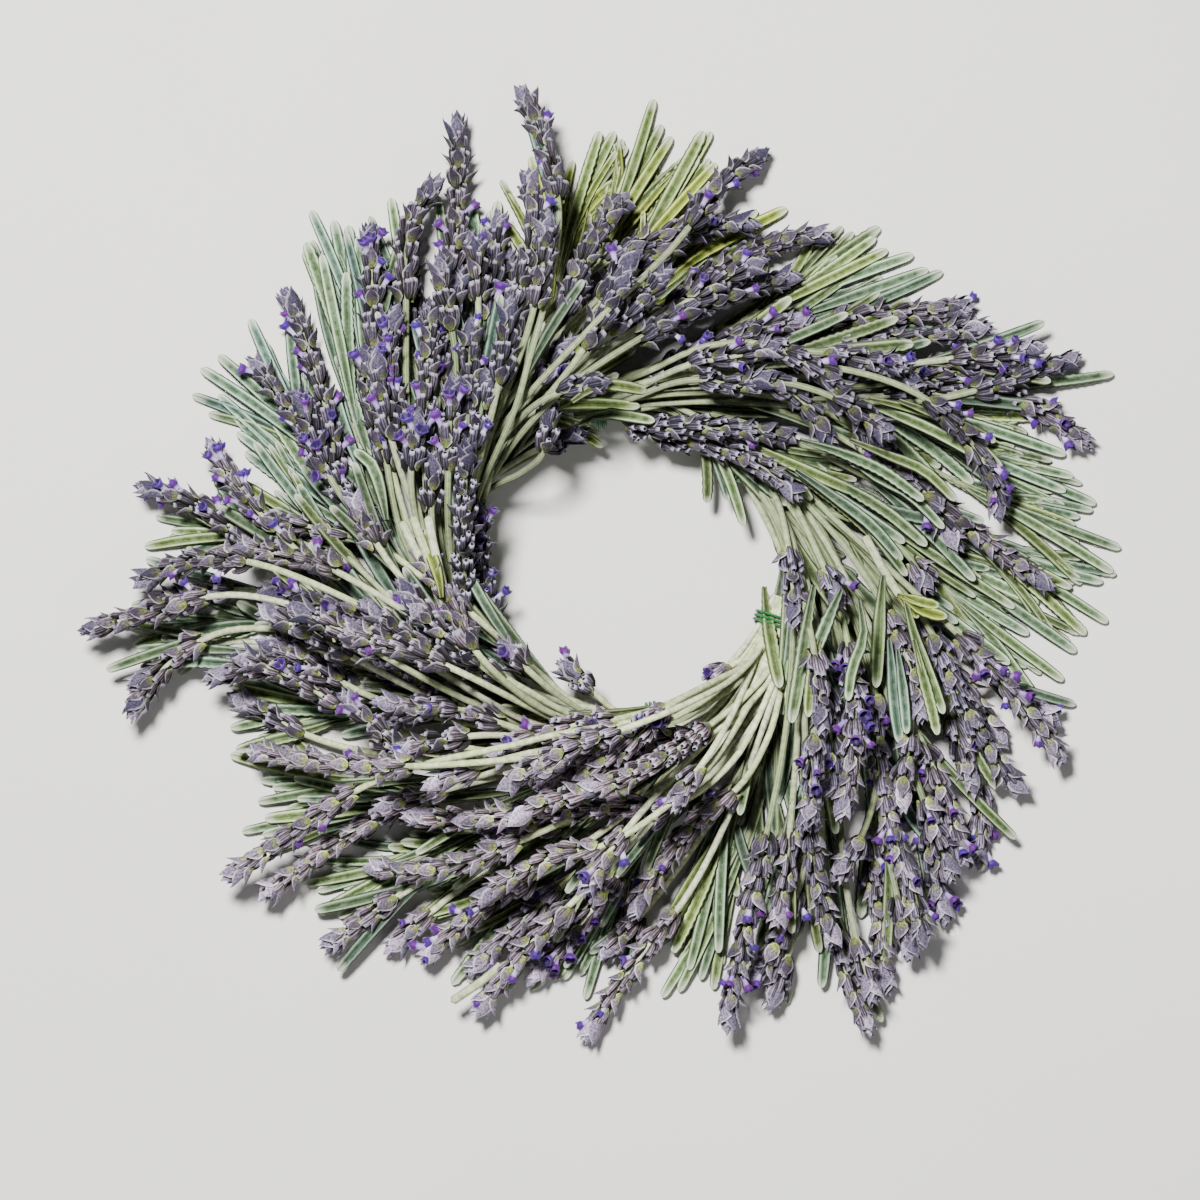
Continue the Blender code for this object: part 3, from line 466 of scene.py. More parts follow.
def shoot_strands(node, bunch, layer, lane, lanes, foot, ends, rng):
    """A leafy shoot: its stem, and a leaf to each picked tip."""
    middle = sum(ends) / len(ends)
    heading = unit(middle - foot)
    points = stem_points(bunch, layer, lane, lanes, foot, heading)
    reach = plan_distance(foot, middle)
    points.append(foot + heading * max(SHORTEST_END, reach - LEAF_LENGTH[0] * SHOOT_END))
    widths = [ROOT_RADIUS] * HELD_KNOTS + [SHOOT_RADIUS] * (len(points) - HELD_KNOTS)
    rank = layer + rng.uniform(*SHOOT_RANKS)
    shoot = Strand(node, bunch, rank, "shoot", points, widths, widths, HELD_KNOTS, layer)
    strands = [shoot]
    for index, end in enumerate(ends):
        length = LEAF_LENGTH[0] + (LEAF_LENGTH[1] - LEAF_LENGTH[0]) * (index + 0.5) / len(ends)
        longest = plan_distance(foot, end) * LONGEST_LEAF[0] + LONGEST_LEAF[1]
        strands.append(leaf_strand(shoot, end, min(length, longest), rng))
    return strands


def lay_out():
    """All strands of the wreath, in plan, in the order of their nodes."""
    strands = []
    for bunch in ORDER:
        for layer, (name, picked, flowering) in enumerate(LAYERS):
            node = f"bunch_{bunch}_{name}"
            if flowering:
                rows = sorted(picked[bunch], key=lambda row: bearing(bunch, to_metres(row[:2])))
                for lane, row in enumerate(rows):
                    strands.append(head_strand(node, bunch, layer, lane, len(rows), row))
            else:
                rng = random.Random(f"lavender {node}")
                rows = [shoot for tuft in picked[bunch] for shoot in split_tuft(tuft)]
                rows.sort(key=lambda row: bearing(bunch, row[0]))
                for lane, (foot, tips) in enumerate(rows):
                    strands += shoot_strands(node, bunch, layer, lane, len(rows), foot, tips, rng)
    share_levels(strands)
    return strands


def plan_samples(strand):
    """Points every few millimetres along a strand, past its root, in plan."""
    samples = []
    for index in range(HELD_KNOTS, len(strand.points) - 1):
        one, two = strand.points[index], strand.points[index + 1]
        count = max(1, math.ceil(plan_distance(one, two) / LEVEL_STEP))
        samples += [one + (two - one) * step / count for step in range(count)]
    return np.array(samples)


def share_levels(strands):
    """Give each head of a layer the lowest level that no head crossing it has."""
    groups = {}
    for strand in strands:
        if strand.kind == "head":
            groups.setdefault(strand.node, []).append(strand)
    for members in groups.values():
        plans = [plan_samples(strand) for strand in members]
        levels = {}
        order = sorted(range(len(members)), key=lambda index: -len(plans[index]))
        for place, index in enumerate(order):
            taken = set()
            for other, level in levels.items():
                away = plans[index][:, None] - plans[other][None]
                if np.hypot(away[..., 0], away[..., 1]).min() < HEAD_RADIUS * LEVEL_REACH:
                    taken.add(level)
            levels[index] = next(level for level in range(len(members)) if level not in taken)
            rank = LEVEL_RANK * levels[index] + PLACE_RANK * place
            members[index].rank = members[index].height + rank


def layer_height(layer):
    """Height of a layer of the bundle where it is bound to the ring."""
    ring_top = BINDING_WIRE + GAP + RING_WIRE
    return ring_top + GAP + STEM_RADIUS + layer * LAYER_PITCH


def binding_top():
    return layer_height(len(LAYERS) - 1) + STEM_RADIUS + GAP + BINDING_WIRE


class Settling:
    """Lets the strands fall on each other, in height alone, in their order."""

    def __init__(self, strands):
        self.strands = strands
        self.first_knot = {}
        self.gather_knots()
        self.gather_samples()
        self.find_pairs()

    def gather_knots(self):
        plan, height, held = [], [], []
        for strand in self.strands:
            self.first_knot[id(strand)] = len(plan)
            run = 0.0
            for index, point in enumerate(strand.points):
                if index:
                    run += plan_distance(strand.points[index - 1], point)
                plan.append(point)
                base = layer_height(strand.height)
                if strand.kind == "leaf":
                    height.append(base + LEAF_RISE + START_SLOPE * run)
                    held.append(index == 0)
                else:
                    height.append(base + START_SLOPE * max(0.0, run - TAIL - EXIT))
                    held.append(index < strand.fixed)
        self.plan = np.array(plan)
        self.z = np.array(height)
        self.held = np.array(held)
        self.held_z = self.z.copy()

    def gather_samples(self):
        """Sample every run, with the knots at its ends and the share of each."""
        rows = []
        for number, strand in enumerate(self.strands):
            first = self.first_knot[id(strand)]
            for index in range(len(strand.points) - 1):
                span = plan_distance(strand.points[index], strand.points[index + 1])
                count = max(1, math.ceil(span / SAMPLE_STEP))
                for step in range(count):
                    t = (step + 0.5) / count
                    width = strand.widths[index] * (1 - t) + strand.widths[index + 1] * t
                    tall = strand.heights[index] * (1 - t) + strand.heights[index + 1] * t
                    if strand.kind == "head" and index >= strand.head_start:
                        width = strand.widths[index + 1]
                        tall = strand.heights[index + 1]
                    rows.append((number, first + index, first + index + 1, t, width, tall))
        table = np.array(rows)
        self.strand_of = table[:, 0].astype(int)
        self.low_knot = table[:, 1].astype(int)
        self.high_knot = table[:, 2].astype(int)
        self.share = table[:, 3]
        self.width = table[:, 4]
        self.tall = table[:, 5]
        t = self.share[:, None]
        self.spot = self.plan[self.low_knot] * (1 - t) + self.plan[self.high_knot] * t
        self.floor = self.floor_heights()

    def floor_heights(self):
        """Lowest height of each sample over the surface, the ring and the bindings."""
        floor = np.full(len(self.spot), SURFACE_CLEARANCE) + self.tall
        away = np.abs(np.hypot(self.spot[:, 0], self.spot[:, 1]) - RING_RADIUS)
        over_ring = away < RING_WIRE / 2 + self.width + GAP
        ring_top = BINDING_WIRE + GAP + RING_WIRE
        floor[over_ring] = ring_top + GAP + self.tall[over_ring]
        bunches = np.array([ORDER.index(strand.bunch) for strand in self.strands])[self.strand_of]
        for number, bunch in enumerate(ORDER):
            centre, clockwise, outward = tie_frame(bunch)
            away = self.spot - centre
            along = np.abs(away @ clockwise)
            across = np.abs(away @ outward)
            near = along < BINDING_MARGIN[0] + self.width
            near &= across < BUNDLE_WIDTH / 2 + BINDING_MARGIN[1] + self.width
            near &= bunches != number
            floor[near] = np.maximum(floor[near], binding_top() + CLEARANCE + self.tall[near])
        return floor

    def find_pairs(self):
        """Pairs of samples that lie over each other in plan, upper one first."""
        reach = 2 * HEAD_RADIUS
        cell = np.floor(self.spot / reach).astype(int)
        cells = {}
        for index, key in enumerate(map(tuple, cell)):
            cells.setdefault(key, []).append(index)
        upper, lower, apart = [], [], []
        for (column, row), members in cells.items():
            here = np.array(members)
            near = []
            for across in (-1, 0, 1):
                for up in (-1, 0, 1):
                    near += cells.get((column + across, row + up), [])
            near = np.array(near)
            away = np.hypot(*(self.spot[here][:, None] - self.spot[near][None]).transpose(2, 0, 1))
            room = self.width[here][:, None] + self.width[near][None]
            one, two = np.nonzero(away < room)
            for i, j, ratio in zip(here[one], near[two], (away / room)[one, two]):
                if self.strand_of[i] < self.strand_of[j]:
                    self.add_pair(i, j, ratio, upper, lower, apart)
        self.upper = np.array(upper)
        self.lower = np.array(lower)
        self.apart = np.array(apart)

    def add_pair(self, i, j, ratio, upper, lower, apart):
        one = self.strands[self.strand_of[i]]
        two = self.strands[self.strand_of[j]]
        if one.node == two.node and self.near_root(one, i, two, j):
            return
        order = (ORDER.index(two.bunch) - ORDER.index(one.bunch)) % len(ORDER)
        if order == ACROSS_RING:
            return
        one_over = order in LIES_OVER or (order == 0 and one.rank > two.rank)
        distance = (self.tall[i] + self.tall[j]) * math.sqrt(max(0.0, 1 - ratio * ratio))
        if one.node != two.node:
            distance += CLEARANCE
        upper.append(i if one_over else j)
        lower.append(j if one_over else i)
        apart.append(distance)

    def near_root(self, one, i, two, j):
        """True where two strands of a node are meant to meet."""
        if one.parent is two or two.parent is one:
            return True
        run_one = self.low_knot[i] - self.first_knot[id(one)]
        run_two = self.low_knot[j] - self.first_knot[id(two)]
        if one.kind == "leaf" and two.kind == "leaf":
            return one.parent is two.parent and min(run_one, run_two) < 1
        return min(run_one, run_two) < HELD_KNOTS and one.kind != "leaf" and two.kind != "leaf"

    def sample_heights(self):
        return self.z[self.low_knot] * (1 - self.share) + self.z[self.high_knot] * self.share

    def push(self, samples, amount):
        """Move knots so that each sample moves by up to the amount given."""
        near = 1 - self.share[samples]
        far = self.share[samples]
        scale = amount / (near * near + far * far)
        change = np.zeros(len(self.z))
        if amount.size and amount[0] < 0:
            np.minimum.at(change, self.low_knot[samples], scale * near)
            np.minimum.at(change, self.high_knot[samples], scale * far)
        else:
            np.maximum.at(change, self.low_knot[samples], scale * near)
            np.maximum.at(change, self.high_knot[samples], scale * far)
        self.z += change

    def smooth(self, share):
        """Straighten every strand a little, so that it bends like a stem."""
        for strand in self.strands:
            first = self.first_knot[id(strand)]
            last = first + len(strand.points)
            z = self.z[first:last]
            before = self.spans[first:last][1:-1]
            after = self.spans[first:last][2:]
            straight = (z[:-2] * after + z[2:] * before) / (before + after)
            z[1:-1] += share * (straight - z[1:-1])

    def measure_spans(self):
        talls = [tall for strand in self.strands for tall in strand.heights]
        self.lowest = np.array(talls) + SURFACE_CLEARANCE
        steps = np.hypot(*(self.plan[1:] - self.plan[:-1]).T)
        self.spans = np.concatenate(([1.0], steps))

    def hold_roots(self):
        self.z[self.held] = self.held_z[self.held]
        for strand in self.strands:
            if strand.parent is not None:
                first = self.first_knot[id(strand.parent)]
                index = min(int(strand.parent_place), len(strand.parent.points) - 2)
                share = strand.parent_place - index
                near = self.z[first + index]
                far = self.z[first + index + 1]
                self.z[self.first_knot[id(strand)]] = near * (1 - share) + far * share

    def run(self):
        self.measure_spans()
        for step in range(SETTLE_STEPS):
            if step < PHASE_ENDS[0]:
                self.z -= FALL
                self.smooth(STRAIGHTEN[0])
            elif step < PHASE_ENDS[1]:
                self.smooth(STRAIGHTEN[1])
            z = self.sample_heights()
            short = self.apart - (z[self.upper] - z[self.lower])
            hit = short > 0
            self.push(self.upper[hit], short[hit] * PUSH)
            self.push(self.lower[hit], -short[hit] * PUSH)
            low = self.floor - self.sample_heights()
            under = np.nonzero(low > 0)[0]
            self.push(under, low[under])
            self.z = np.maximum(self.z, self.lowest)
            self.hold_roots()
        for strand in self.strands:
            first = self.first_knot[id(strand)]
            strand.z = self.z[first : first + len(strand.points)].copy()


# Fine geometry: every organ is a small grid of points bent along a curve. A
# tube's tip stands out by a share of its radius
TUBE_TIP = 0.6


class Heap:
    """Points, faces and tints of one piece, gathered organ by organ."""

    def __init__(self):
        self.points = []
        self.faces = []
        self.tints = []
        self.size = 0

    def add(self, points, faces, tints):
        self.points.append(points)
        self.faces.append(np.where(faces < 0, -1, faces + self.size))
        self.tints.append(tints)
        self.size += len(points)


HEAPS = {}


def heap(node, part):
    return HEAPS.setdefault((node, part), Heap())


@functools.lru_cache(maxsize=None)
def grid_faces(rings, sides, tip=True, closed=False):
    """Faces of a grid of rings, a triangle marked by -1. A closed grid also has a base."""
    faces = []
    last = sides if closed else sides - 1
    for ring in range(rings - 1):
        for side in range(last):
            after = (side + 1) % sides
            low, high = ring * sides, (ring + 1) * sides
            faces.append((low + side, low + after, high + after, high + side))
    if tip:
        start = (rings - 1) * sides
        faces += [(start + side, start + (side + 1) % sides, rings * sides, -1) for side in range(last)]
    if closed:
        faces += [(0, side + 1, side, -1) for side in range(1, sides - 1)]
    return np.array(faces, dtype=np.int64)


def smooth_path(knots, step):
    """A smooth curve through knots, sampled about evenly, with its run."""
    knots = np.array(knots)
    span = np.linalg.norm(knots[1:] - knots[:-1], axis=1)
    slope = (knots[1:] - knots[:-1]) / span[:, None]
    pull = np.empty_like(knots)
    pull[0] = slope[0]
    pull[-1] = slope[-1]
    weight = (span[1:] / (span[1:] + span[:-1]))[:, None]
    pull[1:-1] = slope[:-1] * weight + slope[1:] * (1 - weight)
    pieces = []
    for index, length in enumerate(span):
        count = max(1, int(round(length / step)))
        t = (np.arange(count) / count)[:, None]
        pieces.append(
            knots[index] * (2 * t ** 3 - 3 * t ** 2 + 1) + pull[index] * length * (t ** 3 - 2 * t ** 2 + t)
            + knots[index + 1] * (3 * t ** 2 - 2 * t ** 3) + pull[index + 1] * length * (t ** 3 - t ** 2)
        )
    pieces.append(knots[-1:])
    points = np.concatenate(pieces)
    run = np.concatenate(([0.0], np.cumsum(np.linalg.norm(points[1:] - points[:-1], axis=1))))
    return points, run


def read_path(distances, run, rows):
    """Rows of three numbers along a path, read at some distances."""
    return np.stack([np.interp(distances, run, rows[:, axis]) for axis in range(3)], axis=-1)


def spans_between(knots):
    return np.linalg.norm(np.diff(knots, axis=0), axis=1)


def normalised(vectors):
    return vectors / np.maximum(np.linalg.norm(vectors, axis=-1, keepdims=True), NO_LENGTH)


def frames(points):
    """Direction along a path, level direction across it and upward direction."""
    along = np.empty_like(points)
    along[1:-1] = points[2:] - points[:-2]
    along[0] = points[1] - points[0]
    along[-1] = points[-1] - points[-2]
    along = normalised(along)
    level = normalised(np.cross(along, (0.0, 0.0, 1.0)))
    return along, level, np.cross(level, along)


def varied(middle, play, rng):
    """A share near the middle given, from 0 to 1."""
    return min(1.0, max(0.0, middle + rng.uniform(-play, play)))


def spread_tints(rings, sides, across, along, chance, extra, tip_tint=None):
    """Four numbers a point: across or around, along, chance and shade."""
    tints = np.empty((rings, sides, 4))
    tints[..., 0] = np.broadcast_to(across, (rings, sides))
    tints[..., 1] = np.broadcast_to(np.asarray(along)[:, None], (rings, sides))
    tints[..., 2] = chance
    tints[..., 3] = extra
    flat = tints.reshape(-1, 4)
    if tip_tint is not None:
        flat = np.concatenate((flat, [tip_tint]))
    return flat


def add_tube(target, points, radii, sides, chance, shade, square=0.0, tip=True):
    """A tube along a path, round or squarish, closed at its tip if asked."""
    along, level, upward = frames(points)
    angles = math.tau * np.arange(sides) / (sides - 1)
    reach = 1.0 + square * np.cos(4 * angles + math.pi)
    across = (np.cos(angles - math.pi / 2) * reach)[None, :, None]
    over = (np.sin(angles - math.pi / 2) * reach)[None, :, None]
    ring = points[:, None] + (level[:, None] * across + upward[:, None] * over) * radii[:, None, None]
    grid = ring.reshape(-1, 3)
    tip_tint = None
    if tip:
        grid = np.concatenate((grid, [points[-1] + along[-1] * radii[-1] * TUBE_TIP]))
        tip_tint = (0.5, 1.0, chance, shade)
    around = np.arange(sides) / (sides - 1)
    run = np.linspace(0.0, 1.0, len(points))
    tints = spread_tints(len(points), sides, around, run, chance, shade, tip_tint)
    target.add(grid, grid_faces(len(points), sides, tip), tints)


def round_row(angles, radius, height):
    return np.stack((np.cos(angles) * radius, np.sin(angles) * radius, height + angles * 0), axis=1)


def organ(rows, tip, across, run, tip_tint):
    """Points, faces and tints of an organ: rows across it, closed by a point."""
    points = np.concatenate(rows + [np.array([tip])])
    tints = spread_tints(len(rows), len(rows[0]), across, run, 0.0, 0.0, tip_tint)
    return points, grid_faces(len(rows), len(rows[0])), tints


# Calyx: a ribbed tube with an open toothed mouth. Its rings' places and radii,
# how far along each is coloured, the bottom of the mouth and the teeth
CALYX_SIDES = 7
CALYX_RINGS = ((0.0, 0.45), (0.34, 0.96), (0.72, 1.0), (1.0, 0.62))
CALYX_RUN = (0.0, 0.3, 0.66, 0.8)
CALYX_DEPTH = 0.80
CALYX_TEETH = (3, 0.10)


def calyx_template():
    around = np.arange(CALYX_SIDES) / (CALYX_SIDES - 1)
    angles = math.tau * np.arange(CALYX_SIDES) / (CALYX_SIDES - 1) - math.pi / 2
    rows = [round_row(angles, radius, along) for along, radius in CALYX_RINGS]
    teeth, tall = CALYX_TEETH
    along, radius = CALYX_RINGS[-1]
    rows[-1] = round_row(angles, radius, along + tall * np.cos(angles * teeth))
    return organ(rows, [0.0, 0.0, CALYX_DEPTH], around, CALYX_RUN, (0.5, 1.1, 0.0, 0.0))


# Bract: a broad pointed scale. Half width at places along it, and its hollow:
# the height of its middle, the fall to its sides and the rise to its tip
BRACT_COLUMNS = np.array((-1.0, -0.55, 0.0, 0.55, 1.0))
BRACT_ROWS = ((0.0, 0.34), (0.18, 0.90), (0.40, 1.0), (0.62, 0.74), (0.84, 0.28))
BRACT_MIDDLE = 0.30
BRACT_FALL = (0.75, 1.3)
BRACT_RISE = 0.10


def bract_template():
    rows = []
    for along, half in BRACT_ROWS:
        across = BRACT_COLUMNS * half
        out = BRACT_MIDDLE - BRACT_FALL[0] * np.abs(across) ** BRACT_FALL[1] + BRACT_RISE * along ** 2
        rows.append(np.stack((across, out, np.full(len(across), along)), axis=1))
    run = [along for along, _ in BRACT_ROWS]
    return organ(rows, [0.0, BRACT_MIDDLE, 1.0], np.abs(BRACT_COLUMNS), run, (0.0, 1.0, 0.0, 0.0))


# Corolla: a pale tube that opens into a violet mouth with five lobes. Places
# and radii of its rings, how far along each is coloured, and the ring with lobes
COROLLA_SIDES = 11
COROLLA_RINGS = (
    (-0.35, 0.55), (0.12, 0.66), (0.46, 0.80), (0.66, 1.30), (0.98, 1.58), (0.84, 1.15), (0.52, 0.55),
)
COROLLA_RUN = (0.0, 0.25, 0.42, 0.62, 0.8, 0.95, 1.0)
COROLLA_DEPTH = 0.30
LOBED_RING = 4
LOBES = 5
LOBE_REACH = 0.11
LOBE_LIFT = 0.07


def corolla_template():
    around = np.arange(COROLLA_SIDES) / (COROLLA_SIDES - 1)
    angles = math.tau * np.arange(COROLLA_SIDES) / (COROLLA_SIDES - 1)
    rows = [round_row(angles, radius, along) for along, radius in COROLLA_RINGS]
    lobes = np.cos(LOBES * angles)
    along, radius = COROLLA_RINGS[LOBED_RING]
    rows[LOBED_RING] = round_row(angles, radius * (1.0 + LOBE_REACH * lobes), along + LOBE_LIFT * lobes)
    return organ(rows, [0.0, 0.0, COROLLA_DEPTH], around, COROLLA_RUN, (0.5, 1.0, 0.0, 0.0))


CALYX = calyx_template()
BRACT = bract_template()
COROLLA = corolla_template()


def place(target, template, base, turned, size, bend, chance, shade):
    """Put an organ at its base, turned as given, bent towards or away from the stem."""
    points, faces, tints = template
    across, outward, along = turned
    width, depth, length = size
    out = points[:, 1] * depth + bend * points[:, 2] ** 2 * length
    moved = base + np.outer(points[:, 0] * width, across) + np.outer(out, outward)
    moved = moved + np.outer(points[:, 2] * length, along)
    coloured = tints.copy()
    coloured[:, 2] = chance
    coloured[:, 3] = shade
    target.add(moved, faces, coloured)


def tilted(pose, angle, degrees):
    """Outward direction at an angle round a stem, and the three directions of an organ tilted from it."""
    _, along, level, upward = pose
    tilt = math.radians(degrees)
    outward = level * math.cos(angle) + upward * math.sin(angle)
    across = upward * math.cos(angle) - level * math.sin(angle)
    direction = along * math.cos(tilt) + outward * math.sin(tilt)
    away = outward * math.cos(tilt) - along * math.sin(tilt)
    return outward, (across, away, direction)


# Heads. Of a pair of values, the first is for the foot of the head and the
# second for its tip, or they are the least and the most. Tilts are in degrees
HEAD_STEP = 0.0046
WHORL_PITCH = (0.0072, 0.0054)
PITCH_PLAY = (0.92, 1.08)
WHORL_SHRINK = 0.22
WHORL_SIZES = (0.94, 1.06)
WHORL_TURN = 0.15
FIRST_WHORL = 0.0005
TIP_LENGTH = 0.0095
TIP_OVERLAP = 0.001
HEAD_SHADE_PLAY = 0.22
ANGLE_PLAY = 0.3
FLOWERING_CHOICES = (0.15, 0.6, 1.0, 1.4, 2.0)

# Calyces of a whorl
CALYCES = (9, 7)
CALYX_LENGTH = 0.0068
CALYX_RADIUS = 0.00128
CALYX_LENGTHS = (0.76, 1.14)
CALYX_WIDTHS = (0.9, 1.1)
CALYX_TILT = (18, 38)
CALYX_UPRIGHT = 9
CALYX_FOOT = 0.0016
CALYX_PLAY = 0.0016
CALYX_STAGGER = 0.0012
CALYX_BEND = -0.20

# Corollas: their place at the mouth of a calyx, their turn and their sizes
MOUTH_AHEAD = 0.95
MOUTH_ASIDE = 0.18
COROLLA_LENGTH = 0.0046
COROLLA_RADIUS = 0.00130
COROLLA_TURN = (-0.1, 0.5)
COROLLA_SIZES = (0.8, 1.15)
COROLLA_WIDTHS = (0.75, 1.1)
COROLLA_BEND = 0.15
FLOWER_TOP = 0.074

# Bracts between the calyces. Their foot is out from the stem and back along it,
# and their size is a half width and a length
BRACTS = (2, 3)
BRACT_TURN = 0.4
BRACT_TILT = (16, 36)
BRACT_FOOT = (0.0020, 0.0004)
BRACT_SIZE = (0.0025, 0.0080)
BRACT_SIZES = (0.85, 1.12)
BRACT_BENDS = (-0.05, 0.12)
BRACT_SHADE = 0.45

# Scales that close the tip, in rows of two. Growth and shade are for the first
# row, with their change up to the last
SCALE_ROWS = 4
SCALE_SIZE = (0.0029, 0.0088)
SCALE_SHOWN = 0.8
SCALE_TILT = (20, 34)
SCALE_UPRIGHT = 12
SCALE_GROWTH = (1.05, 0.30)
SCALE_SIZES = (0.9, 1.1)
SCALE_FOOT = 0.0012
SCALE_BENDS = (-0.26, -0.10)
SCALE_SHADE = (0.75, 0.25)

# Share in flower, brightness and shade of the heads, and shade of the stems
FLOWERING = {"1": 0.075, "2": 0.045, "3": 0.065, "4": 0.06, "5": 0.045, "6": 0.065}
# Head brightness differs at random and by bunch: darker towards +y, lighter towards -y, as painted shade and
# light
HEAD_TONE_AND_PAINTED_SHADE = {
    "1": (0.0, 0.40), "2": (0.0, 0.42), "3": (0.0, 0.6), "4": (0.2, 1.0), "5": (0.4, 1.2), "6": (0.0, 0.75),
}
HEAD_SHADE = {"1": 0.30, "2": 0.20, "3": 0.35, "4": 0.30, "5": 0.75, "6": 0.60}
STEM_SHADE = {"1": 0.20, "2": 0.20, "3": 0.20, "4": 0.25, "5": 0.90, "6": 0.60}
STEM_SHADE_PLAY = 0.2

# Stems: how they thicken past the binding and thin inside the head
BOUND = TAIL + EXIT
THICKEN = 0.012
THIN = 0.004
STEM_RADII = (0.00095, 0.00100, 0.00116, 0.00124, 0.00100, 0.0005)
STEM_SHORT = 0.003
STEM_SIDES = 7


class Spine:
    """The middle line of a strand, read by its run."""

    def __init__(self, points, run):
        self.points = points
        self.run = run
        self.along, self.level, self.upward = frames(points)

    def at(self, distance):
        directions = [read_path(distance, self.run, rows) for rows in (self.along, self.level, self.upward)]
        return (read_path(distance, self.run, self.points), *map(normalised, directions))


def add_bract(strand, base, turned, size, grown, bends, shade, rng):
    half, length = size[0] * grown, size[1] * grown
    bend = rng.uniform(*bends)
    chance = rng.uniform(*HEAD_TONE_AND_PAINTED_SHADE[strand.bunch])
    place(heap(strand.node, "bracts"), BRACT, base, turned, (half, half, length), bend, chance, shade)


def add_corolla(strand, mouth, turned, shade, rng):
    across, away, direction = turned
    facing = normalised(direction + away * rng.uniform(*COROLLA_TURN))
    beside = normalised(np.cross(facing, across))
    grown = rng.uniform(*COROLLA_SIZES)
    radius = COROLLA_RADIUS * grown
    size = (radius * rng.uniform(*COROLLA_WIDTHS), radius, COROLLA_LENGTH * grown)
    bend = rng.uniform(-COROLLA_BEND, COROLLA_BEND)
    target = heap(strand.node, "corollas")
    place(target, COROLLA, mouth, (across, -beside, facing), size, bend, rng.random(), shade)


def dress_whorl(strand, spine, distance, share, turn, shade, flowering, rng):
    """A whorl of calyces, a few of them in flower, with bracts between them."""
    pose = spine.at(distance)
    centre, along = pose[:2]
    calyces = heap(strand.node, "calyces")
    size = (1.0 - WHORL_SHRINK * share) * rng.uniform(*WHORL_SIZES)
    count = round(CALYCES[0] + (CALYCES[1] - CALYCES[0]) * share) - (1 if strand.fill else 0)
    for number in range(count):
        angle = turn + math.tau * number / count + rng.uniform(-ANGLE_PLAY, ANGLE_PLAY)
        outward, turned = tilted(pose, angle, rng.uniform(*CALYX_TILT) - CALYX_UPRIGHT * share)
        ahead = rng.uniform(-CALYX_PLAY, CALYX_PLAY) + CALYX_STAGGER * (number % 2)
        base = centre + outward * CALYX_FOOT + along * ahead
        length = CALYX_LENGTH * size * rng.uniform(*CALYX_LENGTHS)
        radius = CALYX_RADIUS * size * rng.uniform(*CALYX_WIDTHS)
        chance = rng.uniform(*HEAD_TONE_AND_PAINTED_SHADE[strand.bunch])
        place(calyces, CALYX, base, turned, (radius, radius, length), CALYX_BEND, chance, shade)
        mouth = base + turned[2] * length * MOUTH_AHEAD - turned[1] * MOUTH_ASIDE * length
        if rng.random() < flowering and mouth[2] < FLOWER_TOP:
            add_corolla(strand, mouth, turned, shade, rng)
    bracts = BRACTS[0] if share < 0.5 else BRACTS[1]
    for number in range(bracts):
        angle = turn + math.tau * number / bracts + rng.uniform(-ANGLE_PLAY, ANGLE_PLAY) + BRACT_TURN
        outward, turned = tilted(pose, angle, rng.uniform(*BRACT_TILT))
        base = centre + outward * BRACT_FOOT[0] - along * BRACT_FOOT[1]
        grown = size * rng.uniform(*BRACT_SIZES)
        add_bract(strand, base, turned, BRACT_SIZE, grown, BRACT_BENDS, BRACT_SHADE * share, rng)


def dress_tip(strand, spine, start, end, turn, rng):
    """Overlapping pointed scales that close the head."""
    for row in range(SCALE_ROWS):
        share = row / (SCALE_ROWS - 1)
        pose = spine.at(start + (end - start - SCALE_SIZE[1] * SCALE_SHOWN) * share)
        for side in (0.0, math.pi):
            angle = turn + row * math.pi / 2 + side + rng.uniform(-ANGLE_PLAY, ANGLE_PLAY)
            outward, turned = tilted(pose, angle, rng.uniform(*SCALE_TILT) - SCALE_UPRIGHT * share)
            base = pose[0] + outward * SCALE_FOOT * (1 - share)
            grown = (SCALE_GROWTH[0] - SCALE_GROWTH[1] * share) * rng.uniform(*SCALE_SIZES)
            shade = SCALE_SHADE[0] + SCALE_SHADE[1] * share
            add_bract(strand, base, turned, SCALE_SIZE, grown, SCALE_BENDS, shade, rng)


def dress_head(strand, shift, rng):
    """A flowering stem and the whorls and scales of its head."""
    knots = strand.knots()
    spans = spans_between(knots)
    points, run = smooth_path(knots, HEAD_STEP)
    points = points + shift
    foot = spans[: strand.head_start].sum() * (run[-1] / spans.sum())
    spine = Spine(points, run)
    radii = np.interp(run, (0.0, BOUND, BOUND + THICKEN, foot, foot + THIN, run[-1]), STEM_RADII)
    keep = run < run[-1] - STEM_SHORT
    shade = varied(STEM_SHADE[strand.bunch], STEM_SHADE_PLAY, rng)
    add_tube(heap(strand.node, "stems"), points[keep], radii[keep], STEM_SIDES, rng.random(), shade)
    head = run[-1] - foot
    shade = varied(HEAD_SHADE[strand.bunch], HEAD_SHADE_PLAY, rng)
    flowering = FLOWERING[strand.bunch] * rng.choice(FLOWERING_CHOICES)
    turn = rng.uniform(0.0, math.tau)
    distance = foot + FIRST_WHORL
    last = run[-1] - TIP_LENGTH
    while distance < last:
        share = (distance - foot) / head
        dress_whorl(strand, spine, distance, share, turn, shade, flowering, rng)
        distance += (WHORL_PITCH[0] + (WHORL_PITCH[1] - WHORL_PITCH[0]) * share) * rng.uniform(*PITCH_PLAY)
        turn += math.pi / 2 + rng.uniform(-WHORL_TURN, WHORL_TURN)
    dress_tip(strand, spine, max(foot, last - TIP_OVERLAP), run[-1] + TIP_OVERLAP, turn, rng)


